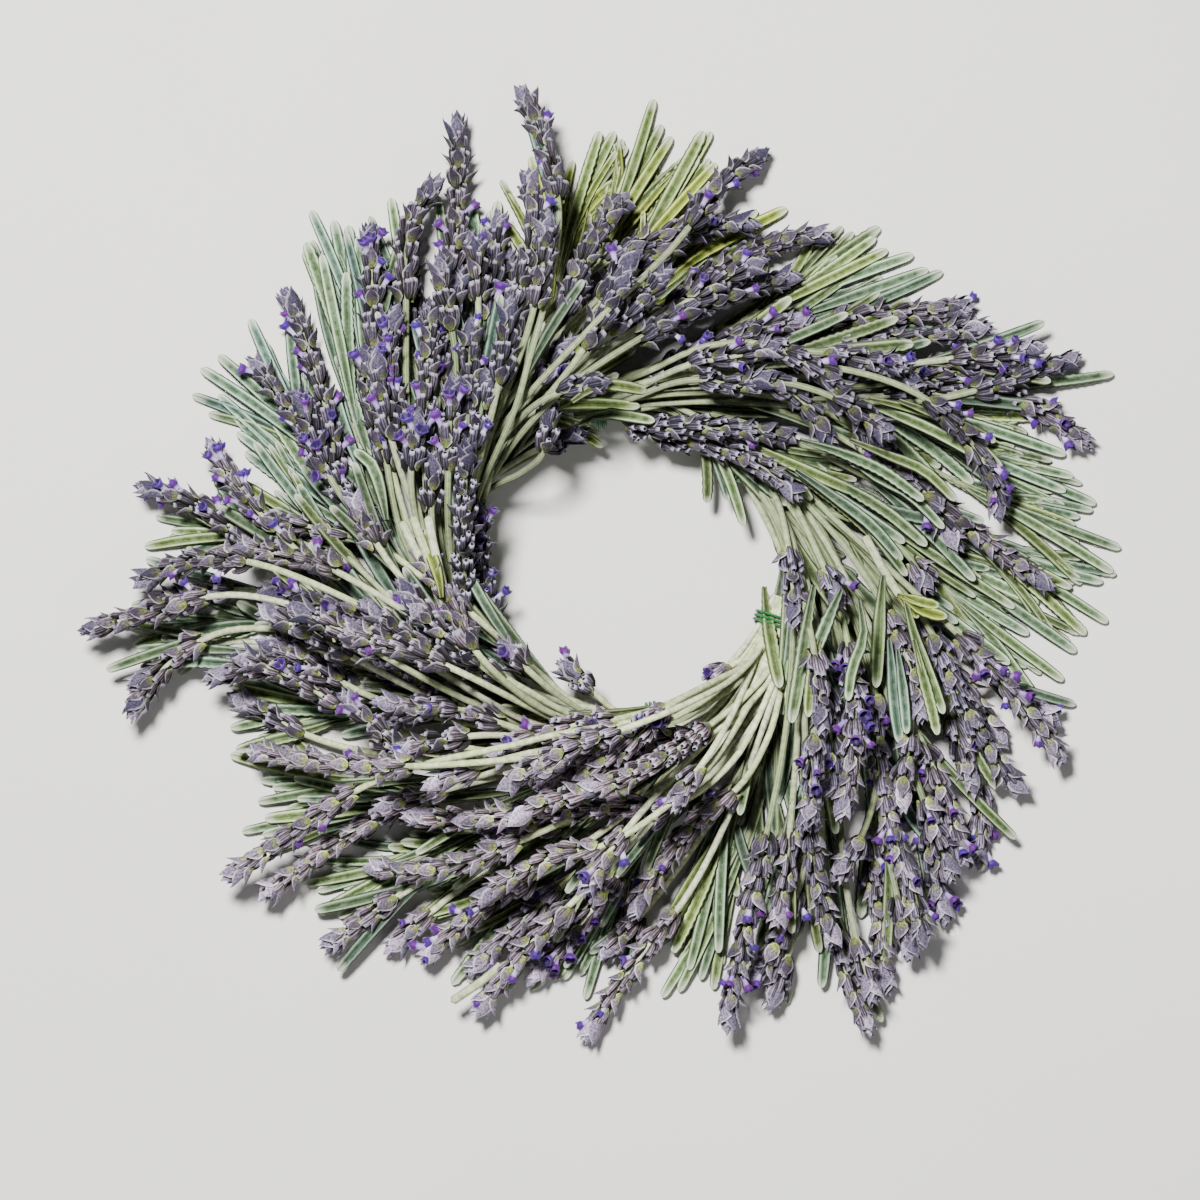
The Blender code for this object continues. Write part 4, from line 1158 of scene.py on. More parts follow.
# Leaf: a cross-section with rolled margins, a narrow groove and a rounded back.
# Its width and thickness follow its run, and its end is blunt
LEAF_SECTION = np.array((
    (-1.0, 0.0), (-0.70, 0.70), (-0.16, 0.46), (0.0, 0.0),
    (0.16, 0.46), (0.70, 0.70), (1.0, 0.0), (0.0, -0.62),
))
LEAF_ACROSS = np.array((0.35, 1.0, 0.60, 0.0, 0.60, 1.0, 0.35, 0.3))
LEAF_SWELL = ((0.0, 0.12, 0.45, 0.80, 1.0), (0.38, 0.55, 1.0, 0.98, 0.78))
LEAF_THIN = ((0.0, 0.3, 0.9, 1.0), (1.0, 1.0, 0.8, 0.6))
LEAF_DEPTH = 0.00095
LEAF_STEP = 0.0052
LEAF_PATH_STEP = 0.0012
FEWEST_RINGS = 4
BLUNT_REACH = 1.5
BLUNT_POWER = 2.4
NARROWEST = 0.12
THINNEST = 0.35
TIP_ACROSS = 0.8
TIP_PLACES = np.array((1.5, 0.85, 0.35, 0.06))

# Crinkled leaves: waves that lift and widen the margins
CRINKLE_STEP = 0.00135
CRINKLE_LENGTH = 0.0027
CRINKLE_SHIFT = 9
CRINKLE_FROM = 0.6
CRINKLE_TALL = 1.3
CRINKLE_WIDE = 0.16
CRINKLED = {"1": 0.25, "2": 0.35, "3": 0.40, "4": 0.35, "5": 0.20, "6": 0.20}
LEAF_HUE = {"1": 0.22, "2": 0.80, "3": 0.45, "4": 0.42, "5": 0.45, "6": 0.40}


def add_leaf(target, knots, half, roll, chance, hue, crinkled, shift):
    fine, fine_run = smooth_path(knots, LEAF_PATH_STEP)
    length = fine_run[-1]
    straight = length - TIP_PLACES[0] * half
    count = max(FEWEST_RINGS, int(straight / (CRINKLE_STEP if crinkled else LEAF_STEP)))
    run = np.concatenate((np.linspace(0.0, straight, count, endpoint=False), length - TIP_PLACES * half))
    points = read_path(run, fine_run, fine) + shift
    _, level, upward = frames(points)
    side = level * math.cos(roll) + upward * math.sin(roll)
    over = upward * math.cos(roll) - level * math.sin(roll)
    share = run / length
    from_tip = np.clip(1.0 - (length - run) / (half * BLUNT_REACH), 0.0, 1.0)
    blunt = np.sqrt(np.clip(1.0 - from_tip ** BLUNT_POWER, 0.0, 1.0))
    width = half * np.interp(share, *LEAF_SWELL) * np.maximum(blunt, NARROWEST)
    depth = LEAF_DEPTH * np.interp(share, *LEAF_THIN) * (THINNEST + (1 - THINNEST) * blunt)
    x = np.repeat(LEAF_SECTION[None, :, 0], len(points), axis=0)
    y = np.repeat(LEAF_SECTION[None, :, 1], len(points), axis=0)
    if crinkled:
        wave = 0.5 + 0.5 * np.cos(run / CRINKLE_LENGTH * math.tau + chance * CRINKLE_SHIFT)[:, None]
        swelling = np.where(np.abs(LEAF_SECTION[:, 0]) > CRINKLE_FROM, 1.0, 0.0)[None] * wave
        y = y * (1 + CRINKLE_TALL * swelling)
        x = x * (1 + CRINKLE_WIDE * swelling)
    ring = (
        points[:, None]
        + side[:, None] * (x * width[:, None])[..., None]
        + over[:, None] * (y * depth[:, None])[..., None]
    )
    end = fine[-1:] + shift
    sides = len(LEAF_SECTION)
    tints = spread_tints(len(points), sides, LEAF_ACROSS, share, chance, hue, (TIP_ACROSS, 1.0, chance, hue))
    target.add(np.concatenate((ring.reshape(-1, 3), end)), grid_faces(len(points), sides, True, True), tints)


# The leaves are slimmer than the solids, and seeded siblings fill each tuft
LEAF_SLIM = 0.84
LEAF_BRIGHT = (0.45, 1.0)
LEAF_HUE_PLAY = 0.25
SIBLINGS = 3
SIBLING_TURN = math.radians(15)
SIBLING_BEND = 0.008
SIBLING_REACH = (0.62, 0.95)
SIBLING_WIDTH = (0.62, 1.0)
SIBLING_DROP = (0.0014, 0.0044)
SIBLING_LOWEST = 0.0016
# Siblings are darker than the leaf above them: painted shade
SIBLING_BRIGHT = (0.0, 0.6)
SEEDED_HUE_PLAY = 0.3
SEEDED_ROLL = 0.35


def add_seeded_leaf(strand, knots, half, widths, bright, shift, rng):
    hue = varied(LEAF_HUE[strand.bunch], SEEDED_HUE_PLAY, rng)
    half = half * rng.uniform(*widths)
    roll = rng.uniform(-SEEDED_ROLL, SEEDED_ROLL)
    chance = rng.uniform(*bright)
    crinkled = rng.random() < CRINKLED[strand.bunch]
    add_leaf(heap(strand.node, "leaves"), knots, half, roll, chance, hue, crinkled, shift)


def dress_leaf(strand, shift, rng):
    """A picked leaf, with smaller leaves beside and below it."""
    knots = strand.knots()
    half = strand.widths[2] * LEAF_SLIM
    hue = varied(LEAF_HUE[strand.bunch], LEAF_HUE_PLAY, rng)
    chance = rng.uniform(*LEAF_BRIGHT)
    crinkled = rng.random() < CRINKLED[strand.bunch]
    add_leaf(heap(strand.node, "leaves"), knots, half, strand.roll, chance, hue, crinkled, shift)
    for _ in range(SIBLINGS):
        turn = rng.uniform(-SIBLING_TURN, SIBLING_TURN)
        reach = rng.uniform(*SIBLING_REACH)
        cosine, sine = math.cos(turn), math.sin(turn)
        away = (knots - knots[0]) * reach
        turned = away.copy()
        turned[:, 0] = away[:, 0] * cosine - away[:, 1] * sine
        turned[:, 1] = away[:, 0] * sine + away[:, 1] * cosine
        share = np.linspace(0.0, 1.0, len(turned))[:, None] ** 2
        across = normalised(np.array((-turned[-1, 1], turned[-1, 0])))
        turned[:, :2] += across * rng.uniform(-SIBLING_BEND, SIBLING_BEND) * share
        turned += knots[0]
        turned[1:, 2] -= rng.uniform(*SIBLING_DROP)
        turned[:, 2] = np.maximum(turned[:, 2], SIBLING_LOWEST)
        add_seeded_leaf(strand, turned, half, SIBLING_WIDTH, SIBLING_BRIGHT, shift, rng)


SHOOT_STEP = 0.0048
SHOOT_RADII = (0.00095, 0.0010, 0.0012, 0.0010)
SHOOT_SHADE = (0.0, 0.3)


def dress_shoot(strand, shift, rng):
    points, run = smooth_path(strand.knots(), SHOOT_STEP)
    radii = np.interp(run, (0.0, BOUND, BOUND + THICKEN, run[-1]), SHOOT_RADII)
    chance = rng.random()
    add_tube(heap(strand.node, "stems"), points + shift, radii, STEM_SIDES, chance, rng.uniform(*SHOOT_SHADE))


# Leaves of the lower stems, which fill the wreath between the picked ones. Drops
# and the length past the end are for flowering stems and then for shoots
LEAFY_PLACES = (0.34, 0.62, 0.92)
LEAFY_STEP = 0.0036
LEAFY_PLAY = 0.004
BARE_SHARE = 0.22
STEM_LEAF = (0.034, 0.050)
STEM_LEAF_PLACES = (0.36, 0.72, 1.0)
STEM_LEAF_PAST = (0.0, 0.010)
STEM_LEAF_DROPS = ((0.003, 0.007), (0.001, 0.006))
SHORTEST_LEAF = 0.018
CLEAR_HOLE = 0.050
STEM_LEAF_TURN = (math.radians(5), math.radians(20))
STEM_LEAF_CURVE = 1.3
STEM_LEAF_RISE = 0.6
STEM_LEAF_WIDTH = (0.65, 0.95)
# Stem leaves are darker: painted shade under the strands above them
STEM_LEAF_BRIGHT = (0.0, 0.45)
LOWEST_STEM_LEAF = 0.0018


def stem_leaf_knots(spine, distance, length, turn, drop, leafy):
    """A leaf that leaves its stem at a distance, keeps near its height and droops."""
    centre, along = spine.at(distance)[:2]
    plan = normalised(np.array((along[0], along[1], 0.0)))
    beside = np.array((-plan[1], plan[0], 0.0))
    knots = [centre]
    for t in STEM_LEAF_PLACES:
        rise = 0.0 if leafy else spine.at(distance + length * t)[0][2] - centre[2]
        out = plan * length * t + beside * length * math.sin(turn) * t ** STEM_LEAF_CURVE
        height = max(LOWEST_STEM_LEAF, centre[2] + min(rise, rise * STEM_LEAF_RISE) - drop * t)
        knots.append(np.array((centre[0] + out[0], centre[1] + out[1], height)))
    return knots


def dress_stem_leaves(strand, shift, rng):
    knots = strand.knots()
    leafy = strand.kind == "shoot"
    points, run = smooth_path(knots, LEAFY_STEP)
    end = run[-1] if leafy else float(spans_between(knots[: strand.head_start + 1]).sum())
    spine = Spine(points, run)
    for share in LEAFY_PLACES:
        distance = BOUND + (end - BOUND) * share + rng.uniform(-LEAFY_PLAY, LEAFY_PLAY)
        for side in (-1, 1):
            if rng.random() < BARE_SHARE:
                continue
            turn = side * rng.uniform(*STEM_LEAF_TURN)
            length = min(rng.uniform(*STEM_LEAF), run[-1] - distance + STEM_LEAF_PAST[leafy])
            if length < SHORTEST_LEAF:
                continue
            drop = rng.uniform(*STEM_LEAF_DROPS[leafy])
            leaf = stem_leaf_knots(spine, distance, length, turn, drop, leafy)
            if np.hypot(*leaf[-1][:2]) < CLEAR_HOLE:
                continue
            add_seeded_leaf(strand, leaf, LEAF_HALF_WIDTH, STEM_LEAF_WIDTH, STEM_LEAF_BRIGHT, shift, rng)


# Heads between two neighbours of a layer, a little lower and shorter than they
# are. A head starts some knots from both ends of its stem
FILL_SHARE = {"1": 0.3, "2": 0.4, "3": 0.4, "4": 0.15, "5": 0.3, "6": 0.35}
FILL_STEP = 0.004
FILL_KNOTS = 16
FILL_EASE = 6
FILL_BETWEEN = (0.35, 0.65)
FILL_REACH = (0.74, 0.96)
FILL_DROP = (0.003, 0.009)
FILL_APART = 0.052
FILL_LOWEST = 0.0065
FILL_STEM_LOWEST = 0.0022
FILL_START = (4, 5)


def resampled(strand):
    """Evenly spread knots of a flowering stem, and the share where its head begins."""
    knots = strand.knots()
    points, run = smooth_path(knots, FILL_STEP)
    spans = spans_between(knots)
    share = float(spans[: strand.head_start].sum() / spans.sum())
    return read_path(np.linspace(0.0, run[-1], FILL_KNOTS), run, points), share


def fill_heads(strands, rng):
    """Seeded heads that thicken each layer of a bunch."""
    layers = {}
    for strand in strands:
        if strand.kind == "head":
            layers.setdefault(strand.node, []).append(strand)
    made = []
    for members in layers.values():
        for one, two in zip(members, members[1:]):
            if rng.random() > FILL_SHARE[one.bunch]:
                continue
            (knots_one, foot_one), (knots_two, foot_two) = resampled(one), resampled(two)
            if np.linalg.norm(knots_one[-1] - knots_two[-1]) > FILL_APART:
                continue
            share = rng.uniform(*FILL_BETWEEN)
            knots = knots_one * (1 - share) + knots_two * share
            knots = knots[0] + (knots - knots[0]) * rng.uniform(*FILL_REACH)
            ease = np.minimum(1.0, np.arange(FILL_KNOTS) / FILL_EASE)
            knots[:, 2] -= rng.uniform(*FILL_DROP) * ease
            foot = foot_one * (1 - share) + foot_two * share
            start = max(FILL_START[0], min(FILL_KNOTS - FILL_START[1], round(foot * (FILL_KNOTS - 1))))
            knots[start:, 2] = np.maximum(knots[start:, 2], FILL_LOWEST)
            knots[:, 2] = np.maximum(knots[:, 2], FILL_STEM_LOWEST)
            if np.hypot(knots[start:, 0], knots[start:, 1]).min() < CLEAR_HOLE:
                continue
            filled = copy.copy(one)
            filled.points = knots[:, :2]
            filled.z = knots[:, 2]
            filled.head_start = start
            filled.fill = True
            made.append(filled)
    return made


# More heads given on the picture, which lie half sunk in what is below them
MORE_HEADS = {
    "1": (
        (325, 470, 308, 425, 297, 385), (392, 440, 382, 395, 376, 345), (432, 512, 434, 478, 437, 448),
        (412, 470, 416, 440, 421, 408), (450, 470, 452, 420, 455, 375), (500, 385, 508, 340, 512, 298),
        (478, 300, 476, 262, 470, 228), (535, 310, 545, 262, 549, 213), (452, 330, 442, 290, 441, 252),
    ),
    "2": (
        (545, 450, 548, 425, 552, 398), (585, 350, 608, 310, 632, 270), (610, 335, 642, 300, 672, 268),
        (600, 300, 618, 275, 641, 248), (690, 300, 730, 275, 770, 258),
    ),
    "3": (
        (700, 380, 738, 386, 778, 373), (690, 365, 740, 356, 786, 344), (830, 397, 862, 415, 893, 440),
        (925, 498, 945, 521, 963, 552),
    ),
    "4": (
        (812, 650, 818, 690, 820, 735), (912, 735, 905, 772, 903, 815), (915, 560, 925, 578, 937, 593),
        (905, 860, 918, 905, 926, 950), (862, 838, 845, 865, 832, 886), (858, 940, 868, 975, 876, 1008),
        (790, 960, 780, 990, 770, 1018), (925, 800, 940, 840, 955, 886),
    ),
    "5": (
        (700, 765, 682, 787, 672, 813), (625, 830, 600, 862, 580, 895), (480, 765, 452, 775, 425, 786),
        (445, 790, 410, 800, 372, 812), (430, 915, 405, 938, 382, 958), (585, 790, 545, 800, 505, 822),
    ),
    "6": (
        (402, 748, 372, 722, 340, 690), (340, 682, 300, 657, 256, 640), (268, 668, 236, 672, 200, 681),
        (300, 735, 262, 715, 223, 695), (478, 660, 440, 628, 405, 598), (420, 692, 370, 690, 321, 668),
        (382, 652, 335, 625, 290, 605), (470, 735, 430, 742, 392, 752), (452, 700, 410, 706, 372, 700),
    ),
}
SINK = 0.0008
STEEPEST = 0.0009
HIGHEST = 0.0708
COVER_REACH = 0.0026


class Cover:
    """Height of the settled strands at a point in plan."""

    def __init__(self, settling):
        self.spot = settling.spot
        self.reach = settling.width + COVER_REACH
        self.top = settling.sample_heights() + settling.tall

    def heights(self, points):
        tops = []
        for point in points:
            near = np.hypot(*(self.spot - point).T) < self.reach
            tops.append(float(self.top[near].max()) if near.any() else 0.0)
        return tops


def more_heads(cover):
    made = []
    for bunch, rows in MORE_HEADS.items():
        for lane, picked in enumerate(rows):
            strand = head_strand(f"bunch_{bunch}_heads_high", bunch, len(LAYERS) - 1, lane, len(rows), picked)
            start = strand.head_start
            tops = cover.heights(strand.points[start:])
            slope = np.polyfit(np.arange(len(tops)), tops, 1)[0]
            slope = min(STEEPEST, max(-STEEPEST, slope))
            head = np.mean(tops) + slope * (np.arange(len(tops)) - (len(tops) - 1) / 2) + SINK
            head = np.clip(head, FILL_LOWEST, HIGHEST)
            plan = np.array(strand.points[: start + 1])
            run = np.concatenate(([0.0], np.cumsum(np.hypot(*np.diff(plan, axis=0).T))))
            tie = layer_height(strand.height)
            stem = np.interp(run, (0.0, run[1], run[-1]), (tie, tie, head[0]))
            strand.z = np.concatenate((stem[:-1], head))
            strand.fill = True
            made.append(strand)
    return made


# Leaves listed one by one: bunch, picture points, half width and hue. The first
# lie on top of what is below them, and the others deep under it
LONE_LEAVES = (
    ("3", (898, 595, 912, 599, 926, 603, 940, 606), 0.0023, 0.9),
    ("3", (900, 596, 907, 604, 914, 611, 919, 618), 0.0023, 1.0),
    ("3", (904, 598, 919, 608, 934, 614, 948, 617), 0.0025, 1.0),
    ("1", (444, 598, 440, 575, 432, 552, 428, 530), 0.0026, 0.95),
    ("1", (386, 520, 379, 488, 369, 462, 352, 449), 0.0028, 0.35),
    ("3", (800, 440, 840, 452, 882, 470, 925, 500), 0.0024, 0.35),
    ("3", (808, 466, 850, 488, 890, 512, 930, 545), 0.0025, 0.45),
    ("3", (796, 470, 834, 496, 872, 524, 905, 560), 0.0026, 0.25),
    ("3", (850, 440, 888, 455, 925, 470, 958, 500), 0.0024, 0.6),
    ("3", (838, 448, 876, 476, 908, 492, 946, 528), 0.0023, 0.3),
    ("4", (812, 585, 806, 620, 799, 668, 790, 722), 0.0029, 0.45),
    ("4", (818, 640, 812, 662, 808, 690, 806, 716), 0.0023, 0.7),
    ("4", (840, 590, 830, 612, 820, 636, 809, 661), 0.0026, 0.3),
    ("4", (884, 575, 881, 612, 879, 650, 877, 688), 0.0031, 0.55),
    ("4", (890, 640, 893, 674, 896, 710, 901, 744), 0.0027, 0.1),
    ("4", (898, 650, 902, 678, 905, 706, 907, 734), 0.0024, 0.15),
    ("4", (906, 600, 916, 638, 930, 676, 944, 714), 0.0027, 0.55),
    ("4", (915, 640, 922, 670, 931, 704, 938, 735), 0.0023, 0.6),
    ("4", (766, 588, 769, 620, 774, 654, 780, 688), 0.0028, 0.65),
    ("4", (858, 600, 862, 636, 850, 670, 846, 700), 0.0024, 0.4),
    ("2", (572, 405, 598, 388, 622, 388, 646, 392), 0.0026, 0.7),
    ("2", (578, 425, 600, 414, 628, 416, 655, 421), 0.0026, 0.5),
)
UNDER_LEAVES = (
    ("3", (850, 395, 895, 412, 940, 432, 985, 458), 0.0026, 0.5),
    ("3", (858, 402, 900, 424, 940, 450, 978, 482), 0.0026, 0.3),
    ("3", (870, 398, 915, 408, 958, 420, 1000, 440), 0.0024, 0.7),
    ("3", (862, 412, 895, 436, 925, 464, 955, 498), 0.0025, 0.4),
    ("3", (900, 400, 940, 416, 975, 440, 1005, 468), 0.0025, 0.6),
    ("1", (372, 470, 360, 435, 350, 400, 338, 360), 0.0027, 0.3),
    ("1", (362, 480, 350, 448, 338, 415, 330, 385), 0.0025, 0.1),
    ("1", (378, 455, 372, 420, 362, 385, 356, 345), 0.0025, 0.45),
    ("6", (250, 652, 215, 650, 175, 648, 130, 650), 0.0025, 0.3),
    ("6", (262, 664, 228, 664, 190, 662, 150, 664), 0.0025, 0.2),
    ("6", (330, 706, 295, 712, 260, 722, 226, 730), 0.0025, 0.4),
    ("6", (335, 722, 300, 734, 268, 742, 232, 752), 0.0025, 0.5),
)
UNDER_DROP = 0.013
LOWEST_LEAF = 0.003
LONE_ROLL = 0.2
LONE_BRIGHT = 0.6
LONE_CRINKLED = 0.5

# Bare cut stems: bunch and picture points
CUT_STEMS = (
    ("1", (444, 606, 428, 570, 414, 545, 404, 524)), ("1", (446, 604, 433, 568, 424, 543, 415, 519)),
    ("1", (448, 602, 440, 566, 435, 545, 430, 519)), ("5", (500, 968, 484, 982, 468, 993, 452, 1004)),
    ("3", (866, 536, 879, 560, 892, 582, 904, 600)),
)
CUT_STEP = 0.004
CUT_RADIUS = 0.0016
CUT_SIDES = 9
CUT_SQUARE = 0.06
CUT_SHADE = 0.55


def dress_lone(cover, shift, rng):
    leaves = [(SINK, *leaf) for leaf in LONE_LEAVES] + [(-UNDER_DROP, *leaf) for leaf in UNDER_LEAVES]
    for lift, bunch, picked, half, hue in leaves:
        plan = picked_points(picked)
        tops = cover.heights(plan)
        slope = np.interp(range(len(plan)), (0, len(plan) - 1), (np.mean(tops[:2]), np.mean(tops[2:])))
        height = np.clip(slope + lift, LOWEST_LEAF, HIGHEST)
        knots = [(*point, level) for point, level in zip(plan, height)]
        roll = rng.uniform(-LONE_ROLL, LONE_ROLL)
        crinkled = rng.random() < LONE_CRINKLED
        target = heap(f"bunch_{bunch}_leaves_high", "leaves")
        add_leaf(target, knots, half * LEAF_SLIM, roll, LONE_BRIGHT, hue, crinkled, shift)
    for bunch, picked in CUT_STEMS:
        plan = picked_points(picked)
        level = min(HIGHEST, float(np.mean(cover.heights(plan))) + SINK)
        points, _ = smooth_path([(*point, level) for point in plan], CUT_STEP)
        radii = np.full(len(points), CUT_RADIUS)
        target = heap(f"bunch_{bunch}_leaves_high", "stems")
        add_tube(target, points + shift, radii, CUT_SIDES, rng.random(), CUT_SHADE, CUT_SQUARE)


DRESS = {"head": dress_head, "shoot": dress_shoot, "leaf": dress_leaf}


# Materials: every colour is as seen on screen, from 0 to 255
SHEEN_ROUGHNESS = 0.5
BUMP_STRENGTH = 0.8


class Tree:
    """Short calls for the nodes of a material."""

    def __init__(self, name):
        self.material = bpy.data.materials.new(name)
        self.material.use_nodes = True
        self.nodes = self.material.node_tree.nodes
        self.links = self.material.node_tree.links
        self.shader = self.nodes["Principled BSDF"]

    def link(self, value, socket):
        if isinstance(value, bpy.types.NodeSocket):
            self.links.new(value, socket)
        elif value is not None:
            socket.default_value = value

    def tint(self):
        """Around or across, along, chance and shade of the point."""
        attribute = self.nodes.new("ShaderNodeAttribute")
        attribute.attribute_name = "tint"
        split = self.nodes.new("ShaderNodeSeparateColor")
        self.links.new(attribute.outputs["Color"], split.inputs["Color"])
        return split.outputs[0], split.outputs[1], split.outputs[2], attribute.outputs["Alpha"]

    def math(self, operation, one, two=None):
        node = self.nodes.new("ShaderNodeMath")
        node.operation = operation
        for socket, value in zip(node.inputs, (one, two)):
            self.link(value, socket)
        return node.outputs[0]

    def times(self, one, two):
        return self.math("MULTIPLY", one, two)

    def aside(self, around):
        """How far a point is from the top of a tube, from 0 to a half."""
        return self.math("ABSOLUTE", self.math("SUBTRACT", around, 0.5))

    def ribs(self, around, count, tall=1.0):
        """Ribs along a tube, from 0 in a furrow."""
        return self.level(self.math("SINE", self.times(around, math.tau * count)), -1.0, 1.0, 0.0, tall)

    def noise(self, scale, detail=3.0, rough=0.6):
        place = self.nodes.new("ShaderNodeTexCoord").outputs["Object"]
        node = self.nodes.new("ShaderNodeTexNoise")
        for name, number in (("Scale", scale), ("Detail", detail), ("Roughness", rough)):
            node.inputs[name].default_value = number
        self.links.new(place, node.inputs["Vector"])
        return node.outputs["Fac"]

    def ramp(self, value, *stops):
        node = self.nodes.new("ShaderNodeValToRGB")
        self.link(value, node.inputs["Fac"])
        elements = node.color_ramp.elements
        while len(elements) < len(stops):
            elements.new(0.5)
        for element, (position, colour) in zip(elements, stops):
            element.position = position
            element.color = (*colour, 1.0)
        return node.outputs["Color"]

    def grey(self, value, *stops):
        return self.ramp(value, *[(position, (share,) * 3) for position, share in stops])

    def hues(self, value, low, middle, high):
        """One of three colours or between them."""
        return self.ramp(value, (0.0, srgb(*low)), (0.5, srgb(*middle)), (1.0, srgb(*high)))

    def level(self, value, low, high, to_low=0.0, to_high=1.0):
        node = self.nodes.new("ShaderNodeMapRange")
        self.link(value, node.inputs["Value"])
        for name, number in (("From Min", low), ("From Max", high), ("To Min", to_low), ("To Max", to_high)):
            node.inputs[name].default_value = number
        return node.outputs["Result"]

    def mix(self, share, one, two, kind="MIX"):
        node = self.nodes.new("ShaderNodeMix")
        node.data_type = "RGBA"
        node.blend_type = kind
        self.link(share, node.inputs["Factor"])
        for name, value in (("A", one), ("B", two)):
            self.link((*srgb(*value), 1.0) if isinstance(value, tuple) else value, node.inputs[name])
        # The colour sockets of a Mix node share their names with the other kinds
        return next(socket for socket in node.outputs if socket.type == "RGBA" and socket.enabled)

    def darkened(self, colour, share):
        return self.mix(1.0, colour, self.grey(share, (0.0, 0.0), (1.0, 1.0)), "MULTIPLY")

    def finish(self, colour, height, bump, roughness, sheen=0.0, specular=0.3):
        self.link(colour, self.shader.inputs["Base Color"])
        for name, number in (
            ("Roughness", roughness), ("Sheen Weight", sheen), ("Sheen Roughness", SHEEN_ROUGHNESS),
            ("Specular IOR Level", specular),
        ):
            self.shader.inputs[name].default_value = number
        if height is not None:
            node = self.nodes.new("ShaderNodeBump")
            node.inputs["Distance"].default_value = bump
            node.inputs["Strength"].default_value = BUMP_STRENGTH
            self.link(height, node.inputs["Height"])
            self.links.new(node.outputs["Normal"], self.shader.inputs["Normal"])
        return self.material


def srgb(*values):
    """A colour as seen on screen, from 0 to 255, turned into light."""
    made = []
    for value in values:
        share = value / 255
        made.append(share / 12.92 if share < 0.04045 else ((share + 0.055) / 1.055) ** 2.4)
    return tuple(made)


def calyx_material():
    tree = Tree("calyx")
    around, along, chance, shade = tree.tint()
    ribs = tree.ribs(around, 7)
    down = tree.noise(900.0, 4.0)
    # Ribs: lighter ridges, darker furrows; partly the ribs' own colour, partly painted highlight and painted
    # shade
    ridge_and_highlight = tree.mix(shade, (160, 154, 186), (206, 186, 196))
    furrow_and_shade = tree.mix(shade, (54, 48, 70), (76, 52, 62))
    lit = tree.times(ribs, tree.level(down, 0.32, 0.66, 0.35, 1.0))
    ribbed = tree.mix(lit, furrow_and_shade, ridge_and_highlight)
    green_foot = tree.level(along, 0.0, 0.40, 0.6, 0.0)
    green = tree.mix(green_foot, ribbed, (104, 112, 62))
    aside = tree.aside(around)
    # Brightness of each calyx: tone that differs at random, and painted shade by bunch
    tone_and_painted_shade = tree.level(chance, 0.0, 1.0, 0.12, 1.0)
    # Sides darker than the outward face: painted shade where neighbouring calyces meet
    painted_shade_sides = tree.level(aside, 0.06, 0.27, 1.0, 0.14)
    bright = tree.times(tone_and_painted_shade, painted_shade_sides)
    # Darker towards the foot: painted shade where the calyx meets the stem
    painted_shade_foot = tree.level(along, 0.0, 0.5, 0.45, 1.0)
    shaded = tree.darkened(green, tree.times(bright, painted_shade_foot))
    pale_rim = tree.grey(along, (0.70, 0.0), (0.80, 0.8), (0.86, 0.0))
    rimmed = tree.mix(pale_rim, shaded, (206, 198, 220))
    # Dark inside the mouth: painted shade in the calyx's opening
    mouth = tree.mix(tree.level(along, 0.84, 0.95), rimmed, (22, 12, 30))
    return tree.finish(mouth, tree.math("ADD", ribs, down), 0.00014, 0.85, 0.03, 0.2)


def bract_material():
    tree = Tree("bract")
    across, along, chance, shade = tree.tint()
    veins = tree.noise(1500.0, 3.0, 0.7)
    base = tree.mix(chance, (112, 122, 50), (164, 178, 76))
    blade = tree.mix(chance, (66, 56, 76), (138, 126, 142))
    lower = tree.mix(tree.level(along, 0.12, 0.48), base, blade)
    scale = tree.mix(chance, (86, 82, 114), (188, 172, 196))
    plain = tree.mix(tree.level(shade, 0.25, 0.75), lower, scale)
    veined = tree.mix(tree.level(veins, 0.42, 0.58), (42, 34, 50), plain)
    netted = tree.mix(0.7, plain, veined)
    # Pale edges: partly the bract's own pale margin, partly painted highlight along its outline
    pale_edge_and_highlight = tree.level(across, 0.74, 1.0, 0.0, 0.8)
    edged = tree.mix(pale_edge_and_highlight, netted, (222, 216, 224))
    # Brightness of each bract: tone that differs at random, and painted shade by bunch
    shaded = tree.darkened(edged, tree.level(chance, 0.0, 1.0, 0.40, 1.0))
    return tree.finish(shaded, veins, 0.00016, 0.8, 0.03, 0.2)


def corolla_material():
    tree = Tree("corolla")
    _, along, chance, _ = tree.tint()
    lobe = tree.mix(chance, (44, 8, 110), (82, 8, 100))
    tube = tree.mix(chance, (196, 180, 220), (140, 104, 184))
    flower = tree.mix(tree.level(along, 0.36, 0.50), tube, lobe)
    rim = tree.grey(along, (0.70, 0.0), (0.80, 0.6), (0.88, 0.0))
    rimmed = tree.mix(rim, flower, (92, 42, 164))
    # Dark deep in the throat: painted shade inside the corolla
    shaded_throat = tree.mix(tree.level(along, 0.83, 0.91), rimmed, (30, 6, 64))
    return tree.finish(shaded_throat, tree.noise(1200.0), 0.00006, 0.6, 0.15)


def stem_material():
    tree = Tree("stem")
    around, _, chance, shade = tree.tint()
    streak = tree.noise(500.0, 4.0)
    fine = tree.noise(1600.0, 2.0)
    green = tree.mix(chance, (68, 90, 40), (98, 108, 62))
    pale = tree.mix(chance, (220, 230, 164), (244, 244, 212))
    plain = tree.mix(shade, green, pale)
    streaks = tree.level(streak, 0.35, 0.62)
    dull = tree.mix(0.6, plain, (56, 72, 36))
    streaked = tree.mix(streaks, dull, plain)
    ribbed = tree.mix(tree.ribs(around, 8, 0.25), streaked, (206, 214, 184))
    # Sides darker than the top: painted shade on the round stem
    painted_shade_sides = tree.level(tree.aside(around), 0.10, 0.26, 1.0, 0.35)
    return tree.finish(tree.darkened(ribbed, painted_shade_sides), fine, 0.00010, 0.7, 0.05)


